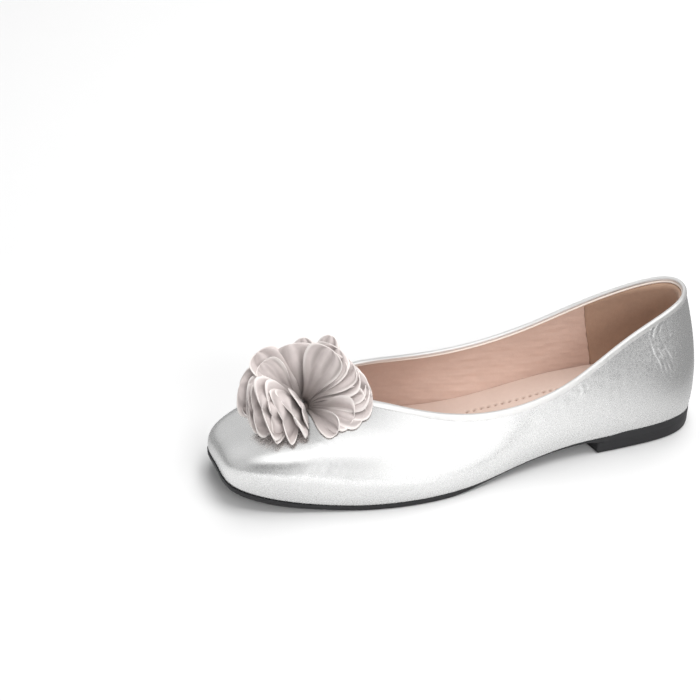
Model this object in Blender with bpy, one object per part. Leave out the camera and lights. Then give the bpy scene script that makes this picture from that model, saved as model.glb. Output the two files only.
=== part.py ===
"""Square-toed ballet flat with a fabric flower on the vamp: one left shoe, built as separate pieces.

The frame is in metres with +Z up. The toe points towards -X and the outer side of the foot towards -Y.
The origin lies on the floor, under the middle of the shoe's box.
Sizes are in millimetres and degrees. In the tables, shares are parts of the driving sizes.
"""

import math
from collections import namedtuple

import bmesh
import bpy
import numpy as np

# Driving sizes
LENGTH = 240.0
BALL_WIDTH = 81.0
COUNTER_HEIGHT = 71.0
SEAT_HEIGHT = 8.6
WALL = 1.8
GAP = 0.3
MM = 0.001

# Sole
OUTSOLE_THICKNESS = 2.6
TOE_SPRING = 9.0
SHANK_START, SHANK_END = 60.0, 133.0
SPRING_START = 171.0
SEAT_RISE, SEAT_RISE_LENGTH = 0.4, 55.0
TOE_LIP, TOE_LIP_START, TOE_LIP_END = 0.5, 180.0, 228.0
WAIST_INSET, WAIST_MIDDLE, WAIST_REACH = 1.0, 95.0, 45.0
OUTSOLE_CHAMFER = 0.6
BEVEL_RISE, BEVEL_RUN = 1.1, 3.0
BEVEL_START, BEVEL_FULL, BEVEL_FADE, BEVEL_END = 56.0, 64.0, 112.0, 138.0
HEEL_LENGTH = 57.2
HEEL_BULGE = 4.6
HEEL_TOP_INSET, HEEL_FOOT_INSET = 0.1, 0.5
HEEL_CORNER = 1.0

# Insole: a padded sheet over a wedge that lifts the heel inside the shoe
INSOLE_THICKNESS = 2.6
INSOLE_WEDGE, WEDGE_START, WEDGE_END = 6.2, 55.0, 180.0
INSOLE_EDGE_GAP = 0.5
INSOLE_FLARE = 0.10

# Topline binding, a step in the upper's wall
BINDING_WIDTH = 3.4
BINDING_STEP = 0.55
BINDING_CROWN = 0.7

# Flower: where its core stands on the vamp, and how its axis leans from upright
FLOWER_ALONG, FLOWER_ACROSS, FLOWER_HEIGHT = 195.0, -5.0, 38.0
FLOWER_TOE_LEAN, FLOWER_OUTER_LEAN = 14.0, 8.0
CORE_RADIUS, CORE_HEIGHT = 8.0, 7.0
PETAL_THICKNESS = 1.3
PETAL_WAIST, PETAL_WIDEST, PETAL_TIP = 0.4, 0.6, 1.06
PETAL_ROOT_RADIUS, PETAL_ROOT_HEIGHT = 5.0, 1.5

# Mesh densities
AROUND = 92
ROWS_UP = 9
FOOT_CROWDING = 1.25
RUNGS = AROUND // 2
ACROSS = 4
PETAL_STEPS, PETAL_ACROSS = 4, 2

# Each row is one profile of the upper, from its foot on the sole up to the topline.
# Along is a share of LENGTH from the back, across a share of BALL_WIDTH, height a share of COUNTER_HEIGHT.
# Flare is the outward lean of the wall at its foot, from vertical.
# Rise is the wall's slope at the topline, from level.
# The pulls are how far each end keeps its direction, in millimetres.
Profile = namedtuple(
    "Profile", "name foot_along foot_across flare foot_pull top_along top_across top_height rise top_pull"
)
PROFILES = [
    Profile("heel_back", 0.0080, 0.000, 11, 24, 0.0235, 0.000, 0.993, 78, 18),
    Profile("heel_curve_outer", 0.0370, -0.216, 12, 22, 0.0500, -0.148, 0.968, 80, 17),
    Profile("heel_side_outer", 0.1400, -0.321, 10, 16, 0.1600, -0.250, 0.833, 80, 14),
    Profile("shank_outer", 0.2850, -0.352, 10, 12, 0.3050, -0.327, 0.580, 80, 10),
    Profile("waist_outer", 0.4170, -0.420, 12, 10, 0.4400, -0.346, 0.476, 68, 9),
    Profile("joint_outer", 0.5600, -0.525, 12, 12, 0.5650, -0.305, 0.509, 42, 12),
    Profile("ball_outer", 0.7020, -0.525, 10, 20, 0.6540, -0.214, 0.571, 30, 16),
    Profile("tread_outer", 0.8270, -0.443, 10, 23, 0.7130, -0.120, 0.599, 24, 26),
    Profile("toe_side_outer", 0.9280, -0.346, 10, 23, 0.7330, -0.070, 0.604, 21, 38),
    Profile("toe_corner_outer", 0.9790, -0.226, 9, 22, 0.7410, -0.035, 0.607, 19, 44),
    Profile("toe", 0.9930, 0.006, 8, 20, 0.7440, 0.000, 0.609, 18, 45),
    Profile("toe_corner_inner", 0.9920, 0.222, 6, 18, 0.7435, 0.050, 0.614, 19, 38),
    Profile("toe_side_inner", 0.9490, 0.340, 6, 19, 0.7350, 0.115, 0.622, 21, 33),
    Profile("tread_inner", 0.8420, 0.426, 6, 20, 0.7080, 0.195, 0.628, 24, 24),
    Profile("ball_inner", 0.7280, 0.467, 8, 18, 0.6530, 0.236, 0.616, 30, 17),
    Profile("joint_inner", 0.5920, 0.414, 12, 13, 0.5630, 0.307, 0.555, 46, 12),
    Profile("waist_inner", 0.4400, 0.319, 16, 12, 0.4390, 0.334, 0.550, 74, 10),
    Profile("shank_inner", 0.2880, 0.306, 14, 12, 0.3040, 0.325, 0.648, 82, 11),
    Profile("heel_side_inner", 0.1340, 0.316, 11, 16, 0.1560, 0.262, 0.844, 81, 14),
    Profile("heel_curve_inner", 0.0360, 0.214, 12, 22, 0.0480, 0.150, 0.969, 80, 17),
]
TOE_ROW = [profile.name for profile in PROFILES].index("toe")

# Petals. Turn is the way each one points: 0 to the heel, 90 to the inner side of the foot, 180 to the toe.
# Lift is its slope at the root and curl the change of slope to the tip. Roll turns it about its own length.
Petal = namedtuple("Petal", "turn lift curl length width roll")
PETALS = [
    Petal(294, 6, -16, 19, 16, 30),
    Petal(322, 6, -16, 22, 19, 34),
    Petal(335, 6, -14, 25, 22, 34),
    Petal(344, 6, -12, 28, 23, 34),
    Petal(180, 16, -6, 26, 28, 0),
    Petal(120, 42, -4, 30, 22, 0),
    Petal(70, 40, -4, 30, 13, 0),
    Petal(40, 40, -4, 32, 13, 0),
    Petal(351, 4, -8, 28, 21, 36),
    Petal(0, 20, -14, 26, 19, 40),
    Petal(12, 36, -10, 26, 20, 30),
    Petal(19, 45, -6, 25, 22, 22),
    Petal(84, 46, -2, 25, 25, 0),
    Petal(128, 42, -4, 24, 16, -10),
    Petal(156, 36, -10, 27, 29, -24),
    Petal(178, 34, -8, 26, 27, -46),
    Petal(190, 37, -8, 26, 27, -53),
    Petal(203, 40, -9, 26, 28, -58),
    Petal(216, 42, -10, 25, 29, -61),
    Petal(229, 41, -10, 24, 28, -64),
    Petal(244, 42, -10, 22, 25, -64),
    Petal(258, 44, -8, 17, 20, -60),
]


def column(name):
    """One column of the profile table as an array."""
    return np.array([getattr(profile, name) for profile in PROFILES], float)


def smooth_step(x, start, end):
    """0 before start, 1 after end, with level ends between."""
    t = np.clip((x - start) / (end - start), 0.0, 1.0)
    return t * t * (3.0 - 2.0 * t)


def sole_top(along):
    """Height of the outsole's upper face: heel seat, falling shank, level tread, then toe spring."""
    seat = SEAT_HEIGHT + SEAT_RISE * np.clip(1.0 - along / SEAT_RISE_LENGTH, 0.0, 1.0)
    height = seat + (OUTSOLE_THICKNESS - seat) * smooth_step(along, SHANK_START, SHANK_END)
    spring = np.clip((along - SPRING_START) / (LENGTH - SPRING_START), 0.0, 1.0)
    return height + TOE_SPRING * spring**2


def chord_knots(points):
    """Distances along the closed polygon through the points, ending where it closes."""
    steps = np.diff(np.vstack([points, points[:1]]), axis=0)
    return np.concatenate([[0.0], np.cumsum(np.linalg.norm(steps, axis=1))])


def closed_spline(knots, values, at):
    """Closed cubic spline through the rows of values, read at the given places along it."""
    count = len(values)
    span = np.diff(knots)
    slope = (np.roll(values, -1, axis=0) - values) / span[:, None]
    system = np.zeros((count, count))
    for i in range(count):
        system[i, i - 1] += span[i - 1]
        system[i, i] += 2.0 * (span[i - 1] + span[i])
        system[i, (i + 1) % count] += span[i]
    bend = np.linalg.solve(system, 6.0 * (slope - np.roll(slope, 1, axis=0)))
    at = np.mod(at, knots[-1])
    i = np.clip(np.searchsorted(knots, at, side="right") - 1, 0, count - 1)
    j = (i + 1) % count
    width = span[i][:, None]
    before, after = (at - knots[i])[:, None], (knots[i + 1] - at)[:, None]
    cubic = (bend[i] * after**3 + bend[j] * before**3) / (6.0 * width)
    left = (values[i] / width - bend[i] * width / 6.0) * after
    right = (values[j] / width - bend[j] * width / 6.0) * before
    return cubic + left + right


def plan_normals(loop):
    """Outward level normals of a closed loop that runs from the heel along the outer side to the toe."""
    tangent = np.roll(loop, -1, axis=0) - np.roll(loop, 1, axis=0)
    normal = np.stack([tangent[:, 1], -tangent[:, 0], np.zeros(len(loop))], axis=1)
    return normal / np.linalg.norm(normal, axis=1, keepdims=True)


def foot_points():
    """The profiles' feet in plan, as rows of along and across."""
    return np.stack([column("foot_along") * LENGTH, column("foot_across") * BALL_WIDTH], axis=1)


def profile_loops(at):
    """Foot loop, topline loop and the four shape columns, read at places along the foot's outline."""
    feet = foot_points()
    knots = chord_knots(feet)
    tops = np.stack([column(name) for name in ("top_along", "top_across", "top_height")], axis=1)
    tops = tops * [LENGTH, BALL_WIDTH, COUNTER_HEIGHT]
    shapes = np.stack([column(name) for name in ("flare", "foot_pull", "rise", "top_pull")], axis=1)
    foot = closed_spline(knots, feet, at)
    foot = np.column_stack([foot, sole_top(foot[:, 0]) + GAP])
    return foot, closed_spline(knots, tops, at), closed_spline(knots, shapes, at)


def even_places(count):
    """Places along the foot's outline, the same number on the outer and the inner side."""
    knots = chord_knots(foot_points())
    half = count // 2
    outer = np.linspace(0.0, knots[TOE_ROW], half, endpoint=False)
    inner = np.linspace(knots[TOE_ROW], knots[-1], count - half, endpoint=False)
    return np.concatenate([outer, inner])


def bezier(p0, p1, p2, p3, t):
    """Points of cubic curves, one curve for each row of the control points."""
    t = t[None, :, None]
    p0, p1, p2, p3 = (p[:, None, :] for p in (p0, p1, p2, p3))
    return p0 * (1 - t) ** 3 + 3 * p1 * t * (1 - t) ** 2 + 3 * p2 * t**2 * (1 - t) + p3 * t**3


def upper_surface(around=AROUND, rows_up=ROWS_UP):
    """Outer face of the upper as a grid of points, with each point's distance below the topline."""
    foot, top, shape = profile_loops(even_places(around))
    flare, foot_pull, rise, top_pull = (shape[:, [k]] for k in range(4))
    flare, rise = np.radians(flare), np.radians(rise)
    up = np.array([[0.0, 0.0, 1.0]])
    foot_handle = foot + foot_pull * (np.cos(flare) * up + np.sin(flare) * plan_normals(foot))
    top_handle = top + top_pull * (np.cos(rise) * plan_normals(top) - np.sin(rise) * up)
    fine = bezier(foot, foot_handle, top_handle, top, np.linspace(0.0, 1.0, 80))
    step = np.linalg.norm(np.diff(fine, axis=1), axis=2)
    run = np.concatenate([np.zeros((around, 1)), np.cumsum(step, axis=1)], axis=1)
    binding = BINDING_WIDTH * np.array([1.25, 0.95, 0.72, 0.36, 0.0])
    grid = np.empty((around, rows_up + len(binding), 3))
    below = np.empty((around, rows_up + len(binding)))
    for i in range(around):
        whole = run[i, -1]
        lower = (whole - binding[0]) * np.linspace(0.0, 1.0, rows_up, endpoint=False) ** FOOT_CROWDING
        places = np.concatenate([lower, whole - binding])
        below[i] = whole - places
        for axis in range(3):
            grid[i, :, axis] = np.interp(places, run[i], fine[i, :, axis])
    return grid, below


def surface_normals(grid):
    """Outward unit normals of a grid that is closed around and open upwards."""
    around = np.roll(grid, -1, axis=0) - np.roll(grid, 1, axis=0)
    upward = np.gradient(grid, axis=1)
    normal = np.cross(around, upward)
    return normal / np.linalg.norm(normal, axis=2, keepdims=True)


def shell_faces(around, loops):
    """Quads between neighbouring closed loops of points, the last loop joined back to the first."""
    faces = []
    for k in range(loops):
        low, high = k * around, ((k + 1) % loops) * around
        for i in range(around):
            j = (i + 1) % around
            faces.append((low + i, high + i, high + j, low + j))
    return faces


def upper_faces():
    """Outer face of the upper with its raised binding, the outward normals, and the inner face."""
    outer, below = upper_surface()
    normal = surface_normals(outer)
    inner = outer - WALL * normal
    round_off = np.sqrt(np.clip(1.0 - (2.0 * below / BINDING_WIDTH - 1.0) ** 2, 0.0, 1.0))
    return outer + BINDING_STEP * round_off[..., None] * normal, normal, inner


def upper():
    """The upper: one wall from the sole to the topline, open at the collar and underneath."""
    outer, normal, inner = upper_faces()
    upward = outer[:, -1] - outer[:, -2]
    upward = upward / np.linalg.norm(upward, axis=1, keepdims=True)
    crown = 0.5 * (outer[:, -1] + inner[:, -1]) + BINDING_CROWN * upward
    loops = [outer[:, k] for k in range(outer.shape[1])] + [crown]
    loops += [inner[:, k] for k in reversed(range(inner.shape[1]))]
    return np.concatenate(loops), shell_faces(len(outer), len(loops))


def halves(loop):
    """Outer and inner halves of a closed loop from the heel to the toe, as paired points."""
    count = len(loop) // 2
    back = np.concatenate([[0], np.arange(2 * count - 1, count - 1, -1)])
    return loop[: count + 1], loop[back]


def foot_halves():
    """Plan points and outward directions of both halves of the foot's outline."""
    loop = profile_loops(even_places(2 * RUNGS))[0]
    return tuple(zip(halves(loop[:, :2]), halves(plan_normals(loop)[:, :2])))


def ladder(outer, inner):
    """A grid of rungs between two sides, with points spread evenly across each rung."""
    t = np.linspace(0.0, 1.0, ACROSS + 1)[None, :, None]
    return outer[:, None] * (1.0 - t) + inner[:, None] * t


def lift(plan, height):
    """A plan grid raised to a height that depends on the place along the shoe."""
    return np.concatenate([plan, height(plan[..., :1])], axis=2)


def ladder_solid(levels):
    """A closed solid from stacked ladders: the first is its underside and the last its top."""
    rungs, across = levels[0].shape[:2]
    points, index = [], []
    for level in levels:
        ids = np.empty((rungs, across), int)
        for i in range(rungs):
            closed_end = np.allclose(level[i, 0], level[i, -1], atol=1e-6)
            for j in range(across):
                if j == 0 or not closed_end:
                    points.append(level[i, j])
                ids[i, j] = len(points) - 1
        index.append(ids)
    faces = []
    for ids, turned in ((index[0], True), (index[-1], False)):
        for i in range(rungs - 1):
            for j in range(across - 1):
                quad = [ids[i, j], ids[i + 1, j], ids[i + 1, j + 1], ids[i, j + 1]]
                faces.append(quad[::-1] if turned else quad)
    rims = [np.concatenate([ids[:, 0], ids[-1, 1:-1], ids[::-1, -1], ids[0, -2:0:-1]]) for ids in index]
    for low, high in zip(rims, rims[1:]):
        for i in range(len(low)):
            j = (i + 1) % len(low)
            faces.append([low[i], low[j], high[j], high[i]])
    whole = [face for face in (list(dict.fromkeys(face)) for face in faces) if len(face) > 2]
    used = sorted({v for face in whole for v in face})
    renumber = {v: k for k, v in enumerate(used)}
    return np.array(points)[used], [[renumber[v] for v in face] for face in whole]


def sole_edge(along):
    """How far the outsole stands out past the upper's foot: a lip round the toe, drawn in at the waist."""
    waist = np.clip(1.0 - ((along - WAIST_MIDDLE) / WAIST_REACH) ** 2, 0.0, 1.0) ** 2
    return TOE_LIP * smooth_step(along, TOE_LIP_START, TOE_LIP_END) - WAIST_INSET * waist


def sole_underside(along):
    """Height of the outsole's lower face, level with the floor under the tread."""
    return sole_top(along) - OUTSOLE_THICKNESS


def waist_bevel(along):
    """Share of the bevel that thins the outsole's edge under the waist: 1 between heel and ball."""
    return smooth_step(along, BEVEL_START, BEVEL_FULL) * (1.0 - smooth_step(along, BEVEL_FADE, BEVEL_END))


def outsole():
    """The outsole: a thin sheet with a lip round the toe, a bevelled waist, level tread and sprung toe."""

    def sheet(inset, height):
        edges = []
        for side, out in foot_halves():
            along = side[:, :1]
            edges.append(side + (sole_edge(along) - inset(along)) * out)
        return lift(ladder(*edges), height)

    def bevel_inset(along):
        return OUTSOLE_CHAMFER + BEVEL_RUN * waist_bevel(along)

    def shoulder(along):
        return sole_underside(along) + OUTSOLE_CHAMFER + BEVEL_RISE * waist_bevel(along)

    levels = [(bevel_inset, sole_underside), (np.zeros_like, shoulder), (np.zeros_like, sole_top)]
    return ladder_solid([sheet(inset, height) for inset, height in levels])


def heel():
    """The low heel block: a D in plan under the heel seat, with a bowed breast and tight corners."""
    turn = np.radians(np.array([0.0, 30.0, 60.0, 90.0]))
    corner_along = HEEL_LENGTH - HEEL_CORNER * (1.0 - np.sin(turn))
    corner_inset = HEEL_CORNER * (1.0 - np.cos(turn))

    def block(inset, height):
        edges = []
        for side, out in foot_halves():
            edge = side - inset * out
            across = np.interp(corner_along, edge[:, 0], edge[:, 1])
            corner = np.column_stack([corner_along, across - np.sign(across) * corner_inset])
            edges.append((edge[edge[:, 0] < corner_along[0] - 1.0], corner))
        shared = min(len(body) for body, corner in edges)
        plan = ladder(*(np.vstack([body[:shared], corner]) for body, corner in edges))
        plan[-1, :, 0] += HEEL_BULGE * (1.0 - np.linspace(-1.0, 1.0, ACROSS + 1) ** 2)
        return lift(plan, height)

    def top(along):
        return sole_underside(along) - GAP

    return ladder_solid([block(HEEL_FOOT_INSET, np.zeros_like), block(HEEL_TOP_INSET, top)])


def insole():
    """The insole: a padded sheet, thick under the heel, that lies in the upper just clear of its wall."""

    def thickness(along):
        return INSOLE_THICKNESS + INSOLE_WEDGE * (1.0 - smooth_step(along, WEDGE_START, WEDGE_END))

    def base(along):
        return sole_top(along) + GAP

    def face(along):
        return base(along) + thickness(along)

    def sheet(flare, height):
        inset = WALL + INSOLE_EDGE_GAP
        edges = [side - (inset - flare * thickness(side[:, :1])) * out for side, out in foot_halves()]
        return lift(ladder(*edges), height)

    return ladder_solid([sheet(0.0, base), sheet(INSOLE_FLARE, face)])


def vamp_block():
    """The upper as if filled in, swollen by the gap: the cutter that seats the flower on the vamp."""
    outer, normal, inner = upper_faces()
    swollen = outer + GAP * normal
    return ladder_solid([ladder(*halves(swollen[:, k])) for k in range(swollen.shape[1])])


def flower_frame():
    """Middle of the flower and its three directions: to the heel, to the inner side, and its axis."""
    toe, outward = math.radians(FLOWER_TOE_LEAN), math.radians(FLOWER_OUTER_LEAN)
    axis = np.array([math.sin(toe), -math.sin(outward), math.cos(toe) * math.cos(outward)])
    axis = axis / np.linalg.norm(axis)
    heelward = np.array([-1.0, 0.0, 0.0])
    heelward = heelward - axis * heelward.dot(axis)
    heelward = heelward / np.linalg.norm(heelward)
    inward = np.array([0.0, 1.0, 0.0])
    inward = inward - axis * inward.dot(axis) - heelward * inward.dot(heelward)
    inward = inward / np.linalg.norm(inward)
    return np.array([FLOWER_ALONG, FLOWER_ACROSS, FLOWER_HEIGHT]), heelward, inward, axis


def petal_sheet(petal):
    """Middle surface of one petal: a strip on a bending spine, narrow at the root and round at the tip."""
    middle, heelward, inward, axis = flower_frame()
    turn = math.radians(petal.turn)
    radial = heelward * math.cos(turn) + inward * math.sin(turn)
    sideways = inward * math.cos(turn) - heelward * math.sin(turn)
    s = np.linspace(0.0, 1.0, PETAL_STEPS + 1)
    slope = np.radians(petal.lift + petal.curl * s)
    tangent = np.cos(slope)[:, None] * radial + np.sin(slope)[:, None] * axis
    steps = 0.5 * (tangent[1:] + tangent[:-1]) * petal.length / PETAL_STEPS
    root = middle + PETAL_ROOT_RADIUS * radial + PETAL_ROOT_HEIGHT * axis
    spine = root + np.vstack([np.zeros(3), np.cumsum(steps, axis=0)])
    roll = math.radians(petal.roll)
    rise = np.cross(sideways, tangent)
    rise = rise * np.sign(rise @ axis)[:, None]
    side = math.cos(roll) * sideways + math.sin(roll) * rise
    swell = PETAL_WAIST + (1.0 - PETAL_WAIST) * smooth_step(s, 0.0, PETAL_WIDEST)
    tip = np.clip((s - PETAL_WIDEST) / (PETAL_TIP - PETAL_WIDEST), 0.0, 1.0)
    half = 0.5 * petal.width * swell * np.sqrt(1.0 - tip**2)
    t = np.linspace(-1.0, 1.0, PETAL_ACROSS + 1)
    return spine[:, None] + (half[:, None] * t[None, :])[..., None] * side[:, None]


def sheet_normals(grid):
    """Unit normals of an open grid."""
    normal = np.cross(np.gradient(grid, axis=0), np.gradient(grid, axis=1))
    return normal / np.linalg.norm(normal, axis=2, keepdims=True)


def petal_solid(petal):
    """One petal as a closed plate."""
    sheet = petal_sheet(petal)
    half = 0.5 * PETAL_THICKNESS * sheet_normals(sheet)
    return ladder_solid([sheet - half, sheet + half])


def flower_core():
    """The round core that holds the petals' roots, sunk a little below the vamp before it is trimmed."""
    middle, heelward, inward, axis = flower_frame()
    turn = np.radians(np.arange(0, 360, 30))
    lean = np.radians(np.array([-60, -20, 20, 55]))
    rings = [
        middle
        + CORE_RADIUS * math.cos(b) * (np.cos(turn)[:, None] * heelward + np.sin(turn)[:, None] * inward)
        + CORE_HEIGHT * math.sin(b) * axis
        for b in lean
    ]
    ends = [middle - CORE_HEIGHT * axis, middle + CORE_HEIGHT * axis]
    count, last = len(turn), (len(rings) - 1) * len(turn)
    low_end, high_end = last + count, last + count + 1
    faces = shell_faces(count, len(rings))[:last]
    for i in range(count):
        j = (i + 1) % count
        faces += [(low_end, i, j), (high_end, last + j, last + i)]
    return np.vstack(rings + ends), faces


def material(name, colour, roughness, metallic=0.0):
    """A plain finish."""
    made = bpy.data.materials.new(name)
    made.use_nodes = True
    shader = made.node_tree.nodes["Principled BSDF"]
    shader.inputs["Base Color"].default_value = (*colour, 1.0)
    shader.inputs["Roughness"].default_value = roughness
    shader.inputs["Metallic"].default_value = metallic
    return made


def add_piece(name, points, faces, finish, centre):
    """One named object from points in millimetres, moved to the frame and shaded smooth."""
    placed = np.column_stack([centre[0] - points[:, 0], points[:, 1] - centre[1], points[:, 2]]) * MM
    mesh = bpy.data.meshes.new(name)
    mesh.from_pydata(placed.tolist(), [], [tuple(int(v) for v in face) for face in faces])
    built = bmesh.new()
    built.from_mesh(mesh)
    bmesh.ops.recalc_face_normals(built, faces=built.faces)
    bmesh.ops.triangulate(built, faces=built.faces)
    built.to_mesh(mesh)
    built.free()
    mesh.shade_smooth()
    mesh.set_sharp_from_angle(angle=math.radians(35.0))
    mesh.materials.append(finish)
    piece = bpy.data.objects.new(name, mesh)
    bpy.context.scene.collection.objects.link(piece)
    return piece


def join(piece, other, operation):
    """Apply one exact Boolean between two objects and remove the second."""
    other.hide_render = True
    other.display_type = "WIRE"
    change = piece.modifiers.new(operation.lower(), "BOOLEAN")
    change.operation = operation
    change.solver = "EXACT"
    change.object = other
    bpy.context.view_layer.objects.active = piece
    bpy.ops.object.modifier_apply(modifier=change.name)
    bpy.data.objects.remove(other)
    built = bmesh.new()
    built.from_mesh(piece.data)
    bmesh.ops.triangulate(built, faces=built.faces)
    built.to_mesh(piece.data)
    built.free()


def add_flower(finish, centre):
    """The flower: petals fused to the core, then trimmed to sit on the vamp."""
    flower = add_piece("flower", *flower_core(), finish, centre)
    for number, petal in enumerate(PETALS):
        join(flower, add_piece(f"petal_{number}", *petal_solid(petal), finish, centre), "UNION")
    join(flower, add_piece("vamp_block", *vamp_block(), finish, centre), "DIFFERENCE")
    return flower


def main():
    """Clear the scene and build the five pieces of the shoe."""
    for old in list(bpy.data.objects):
        bpy.data.objects.remove(old)
    black = material("black_rubber", (0.035, 0.035, 0.037), 0.55)
    silver = material("silver_leather", (0.80, 0.80, 0.79), 0.32, 0.9)
    tan = material("tan_leather", (0.66, 0.46, 0.36), 0.6)
    greige = material("greige_fabric", (0.50, 0.46, 0.44), 0.6)
    shapes = {"upper": upper(), "outsole": outsole(), "heel": heel(), "insole": insole()}
    everything = np.concatenate([points for points, faces in shapes.values()])
    centre = 0.5 * (everything.min(axis=0) + everything.max(axis=0))
    finishes = {"upper": silver, "outsole": black, "heel": black, "insole": tan}
    for name, (points, faces) in shapes.items():
        add_piece(name, points, faces, finishes[name], centre)
    add_flower(greige, centre)


main()
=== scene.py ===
"""A left square-toed ballet flat: silver leather upper, tan lining and sock, black sole, fabric flower.

The frame is in metres with +Z up, the toe towards -X and the outer side of the foot towards -Y.
The classes work in the shoe's own measures, in millimetres and degrees: along from the back of the heel
to the toe, across from the middle line to the inner side, and height above the floor.
"""

import logging
import math
from dataclasses import dataclass, field
from enum import Enum
from typing import Any, NamedTuple

import bmesh
import bpy
import numpy as np
from mathutils import Matrix, Vector


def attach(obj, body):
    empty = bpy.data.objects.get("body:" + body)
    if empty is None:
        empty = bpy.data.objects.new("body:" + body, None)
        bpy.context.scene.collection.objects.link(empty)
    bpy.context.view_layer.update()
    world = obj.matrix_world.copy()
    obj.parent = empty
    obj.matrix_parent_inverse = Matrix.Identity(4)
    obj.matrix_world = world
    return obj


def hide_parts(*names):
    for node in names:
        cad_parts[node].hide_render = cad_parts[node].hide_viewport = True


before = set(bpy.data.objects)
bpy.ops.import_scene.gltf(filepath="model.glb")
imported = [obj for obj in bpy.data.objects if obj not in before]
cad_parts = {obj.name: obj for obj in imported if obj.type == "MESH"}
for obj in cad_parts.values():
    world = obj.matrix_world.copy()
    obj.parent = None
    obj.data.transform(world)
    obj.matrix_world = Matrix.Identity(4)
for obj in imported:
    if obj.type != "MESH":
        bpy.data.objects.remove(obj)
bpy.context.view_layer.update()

log = logging.getLogger("ballet_flat")
Array = np.ndarray
Colour = tuple[float, float, float]
Piece = bpy.types.Object
Socket = bpy.types.NodeSocket
Tree = bpy.types.NodeTree
MM = 0.001
# Values on the petals: along, across, and where the painted edge highlight and the painted shade of the
# pleats' valleys fall.
PETAL_VALUES = ("petal_along", "petal_across", "petal_rim_highlight", "petal_fold_shade")


class Slot(Enum):
    """The record's material slots."""

    SILVER = "silver_leather"
    RUBBER = "black_rubber"
    TAN = "tan_leather"
    FABRIC = "greige_fabric"


class Node(Enum):
    """The solids that the dressed pieces stand for."""

    UPPER = "upper"
    OUTSOLE = "outsole"
    HEEL = "heel"
    INSOLE = "insole"
    FLOWER = "flower"


# Arrays


def unit(vectors: Array) -> Array:
    """The vectors of the last axis, each divided by its length."""
    return vectors / np.maximum(np.linalg.norm(vectors, axis=-1, keepdims=True), 1e-9)


def smooth_step(x: Array, start: float, end: float) -> Array:
    """A rise from 0 to 1 that is level at both ends: 3t squared less 2t cubed.

    Args:
        x: Where to read it.
        start: Where it leaves 0.
        end: Where it reaches 1.

    Returns:
        The rise at each place.
    """
    t = np.clip((x - start) / (end - start), 0.0, 1.0)
    return t * t * (3.0 - 2.0 * t)


def plateau(x: Array, bounds: tuple[float, float, float, float]) -> Array:
    """A rise from 0 to 1 between the first two bounds and a fall back between the last two."""
    start, full, fade, end = bounds
    return smooth_step(x, start, full) * (1.0 - smooth_step(x, fade, end))


def bell(distance: Array, reach: float) -> Array:
    """A bell of height 1 that has fallen to about a third at the reach."""
    return np.exp(-((distance / reach) ** 2))


def chord_knots(points: Array) -> Array:
    """Distances along the closed polygon through the points, ending where it closes."""
    steps = np.diff(np.vstack([points, points[:1]]), axis=0)
    return np.concatenate([[0.0], np.cumsum(np.linalg.norm(steps, axis=1))])


def closed_spline(knots: Array, values: Array, at: Array) -> Array:
    """Closed cubic spline: its second derivatives solve the cyclic three-term system.

    Args:
        knots: Places of the rows, with the closing place last.
        values: One row for each knot but the last.
        at: Places to read.

    Returns:
        One row for each place.
    """
    count = len(values)
    span = np.diff(knots)
    slope = (np.roll(values, -1, axis=0) - values) / span[:, None]
    before = np.roll(span, 1)
    eye = np.eye(count)
    system = np.diag(2.0 * (before + span)) + before[:, None] * np.roll(eye, -1, axis=1)
    system += span[:, None] * np.roll(eye, 1, axis=1)
    bend = np.linalg.solve(system, 6.0 * (slope - np.roll(slope, 1, axis=0)))
    at = np.mod(at, knots[-1])
    i = np.clip(np.searchsorted(knots, at, side="right") - 1, 0, count - 1)
    j = (i + 1) % count
    width = span[i][:, None]
    left, right = (at - knots[i])[:, None], (knots[i + 1] - at)[:, None]
    cubic = (bend[i] * right**3 + bend[j] * left**3) / (6.0 * width)
    start = (values[i] / width - bend[i] * width / 6.0) * right
    return cubic + start + (values[j] / width - bend[j] * width / 6.0) * left


def plan_normals(loop: Array) -> Array:
    """Level outward normals of a closed loop that runs from the heel along the outer side to the toe."""
    tangent = np.roll(loop, -1, axis=0) - np.roll(loop, 1, axis=0)
    return unit(np.stack([tangent[:, 1], -tangent[:, 0], np.zeros(len(loop))], axis=1))


def path_distance(points: Array, path: Array) -> tuple[Array, Array]:
    """Distance from points to a polyline, as the least distance to its segments.

    Args:
        points: Points in the last axis.
        path: Corners of the polyline.

    Returns:
        The distance, and the share of the path's length at the nearest place.
    """
    best = np.full(points.shape[:-1], 1e9)
    share = np.zeros(points.shape[:-1])
    run = np.concatenate([[0.0], np.cumsum(np.linalg.norm(np.diff(path, axis=0), axis=1))])
    for k, (start, end) in enumerate(zip(path[:-1], path[1:])):
        leg = end - start
        t = np.clip(((points - start) @ leg) / (leg @ leg), 0.0, 1.0)
        gap = np.linalg.norm(points - start - t[..., None] * leg, axis=-1)
        nearer = gap < best
        share = np.where(nearer, (run[k] + t * (run[k + 1] - run[k])) / run[-1], share)
        best = np.where(nearer, gap, best)
    return best, share


def ripple(points: Array, wave: float, count: int, seed: int) -> Array:
    """Irregular ripples: the mean of plane waves with seeded directions and phases.

    Args:
        points: Points in the last axis, in millimetres.
        wave: Middle wavelength.
        count: Number of waves.
        seed: Seed of the directions.

    Returns:
        A value of about -1 to 1 at each point.
    """
    draw = np.random.default_rng(seed)
    ways = unit(draw.normal(size=(count, 3)))
    pitch = 2.0 * np.pi / (wave * draw.uniform(0.6, 1.6, count))
    phase = draw.uniform(0.0, 2.0 * np.pi, count)
    total = np.zeros(points.shape[:-1])
    for way, rate, shift in zip(ways, pitch, phase):
        total += np.sin(rate * (points @ way) + shift)
    return total * math.sqrt(2.0 / count) * 0.6


# Meshes


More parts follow.
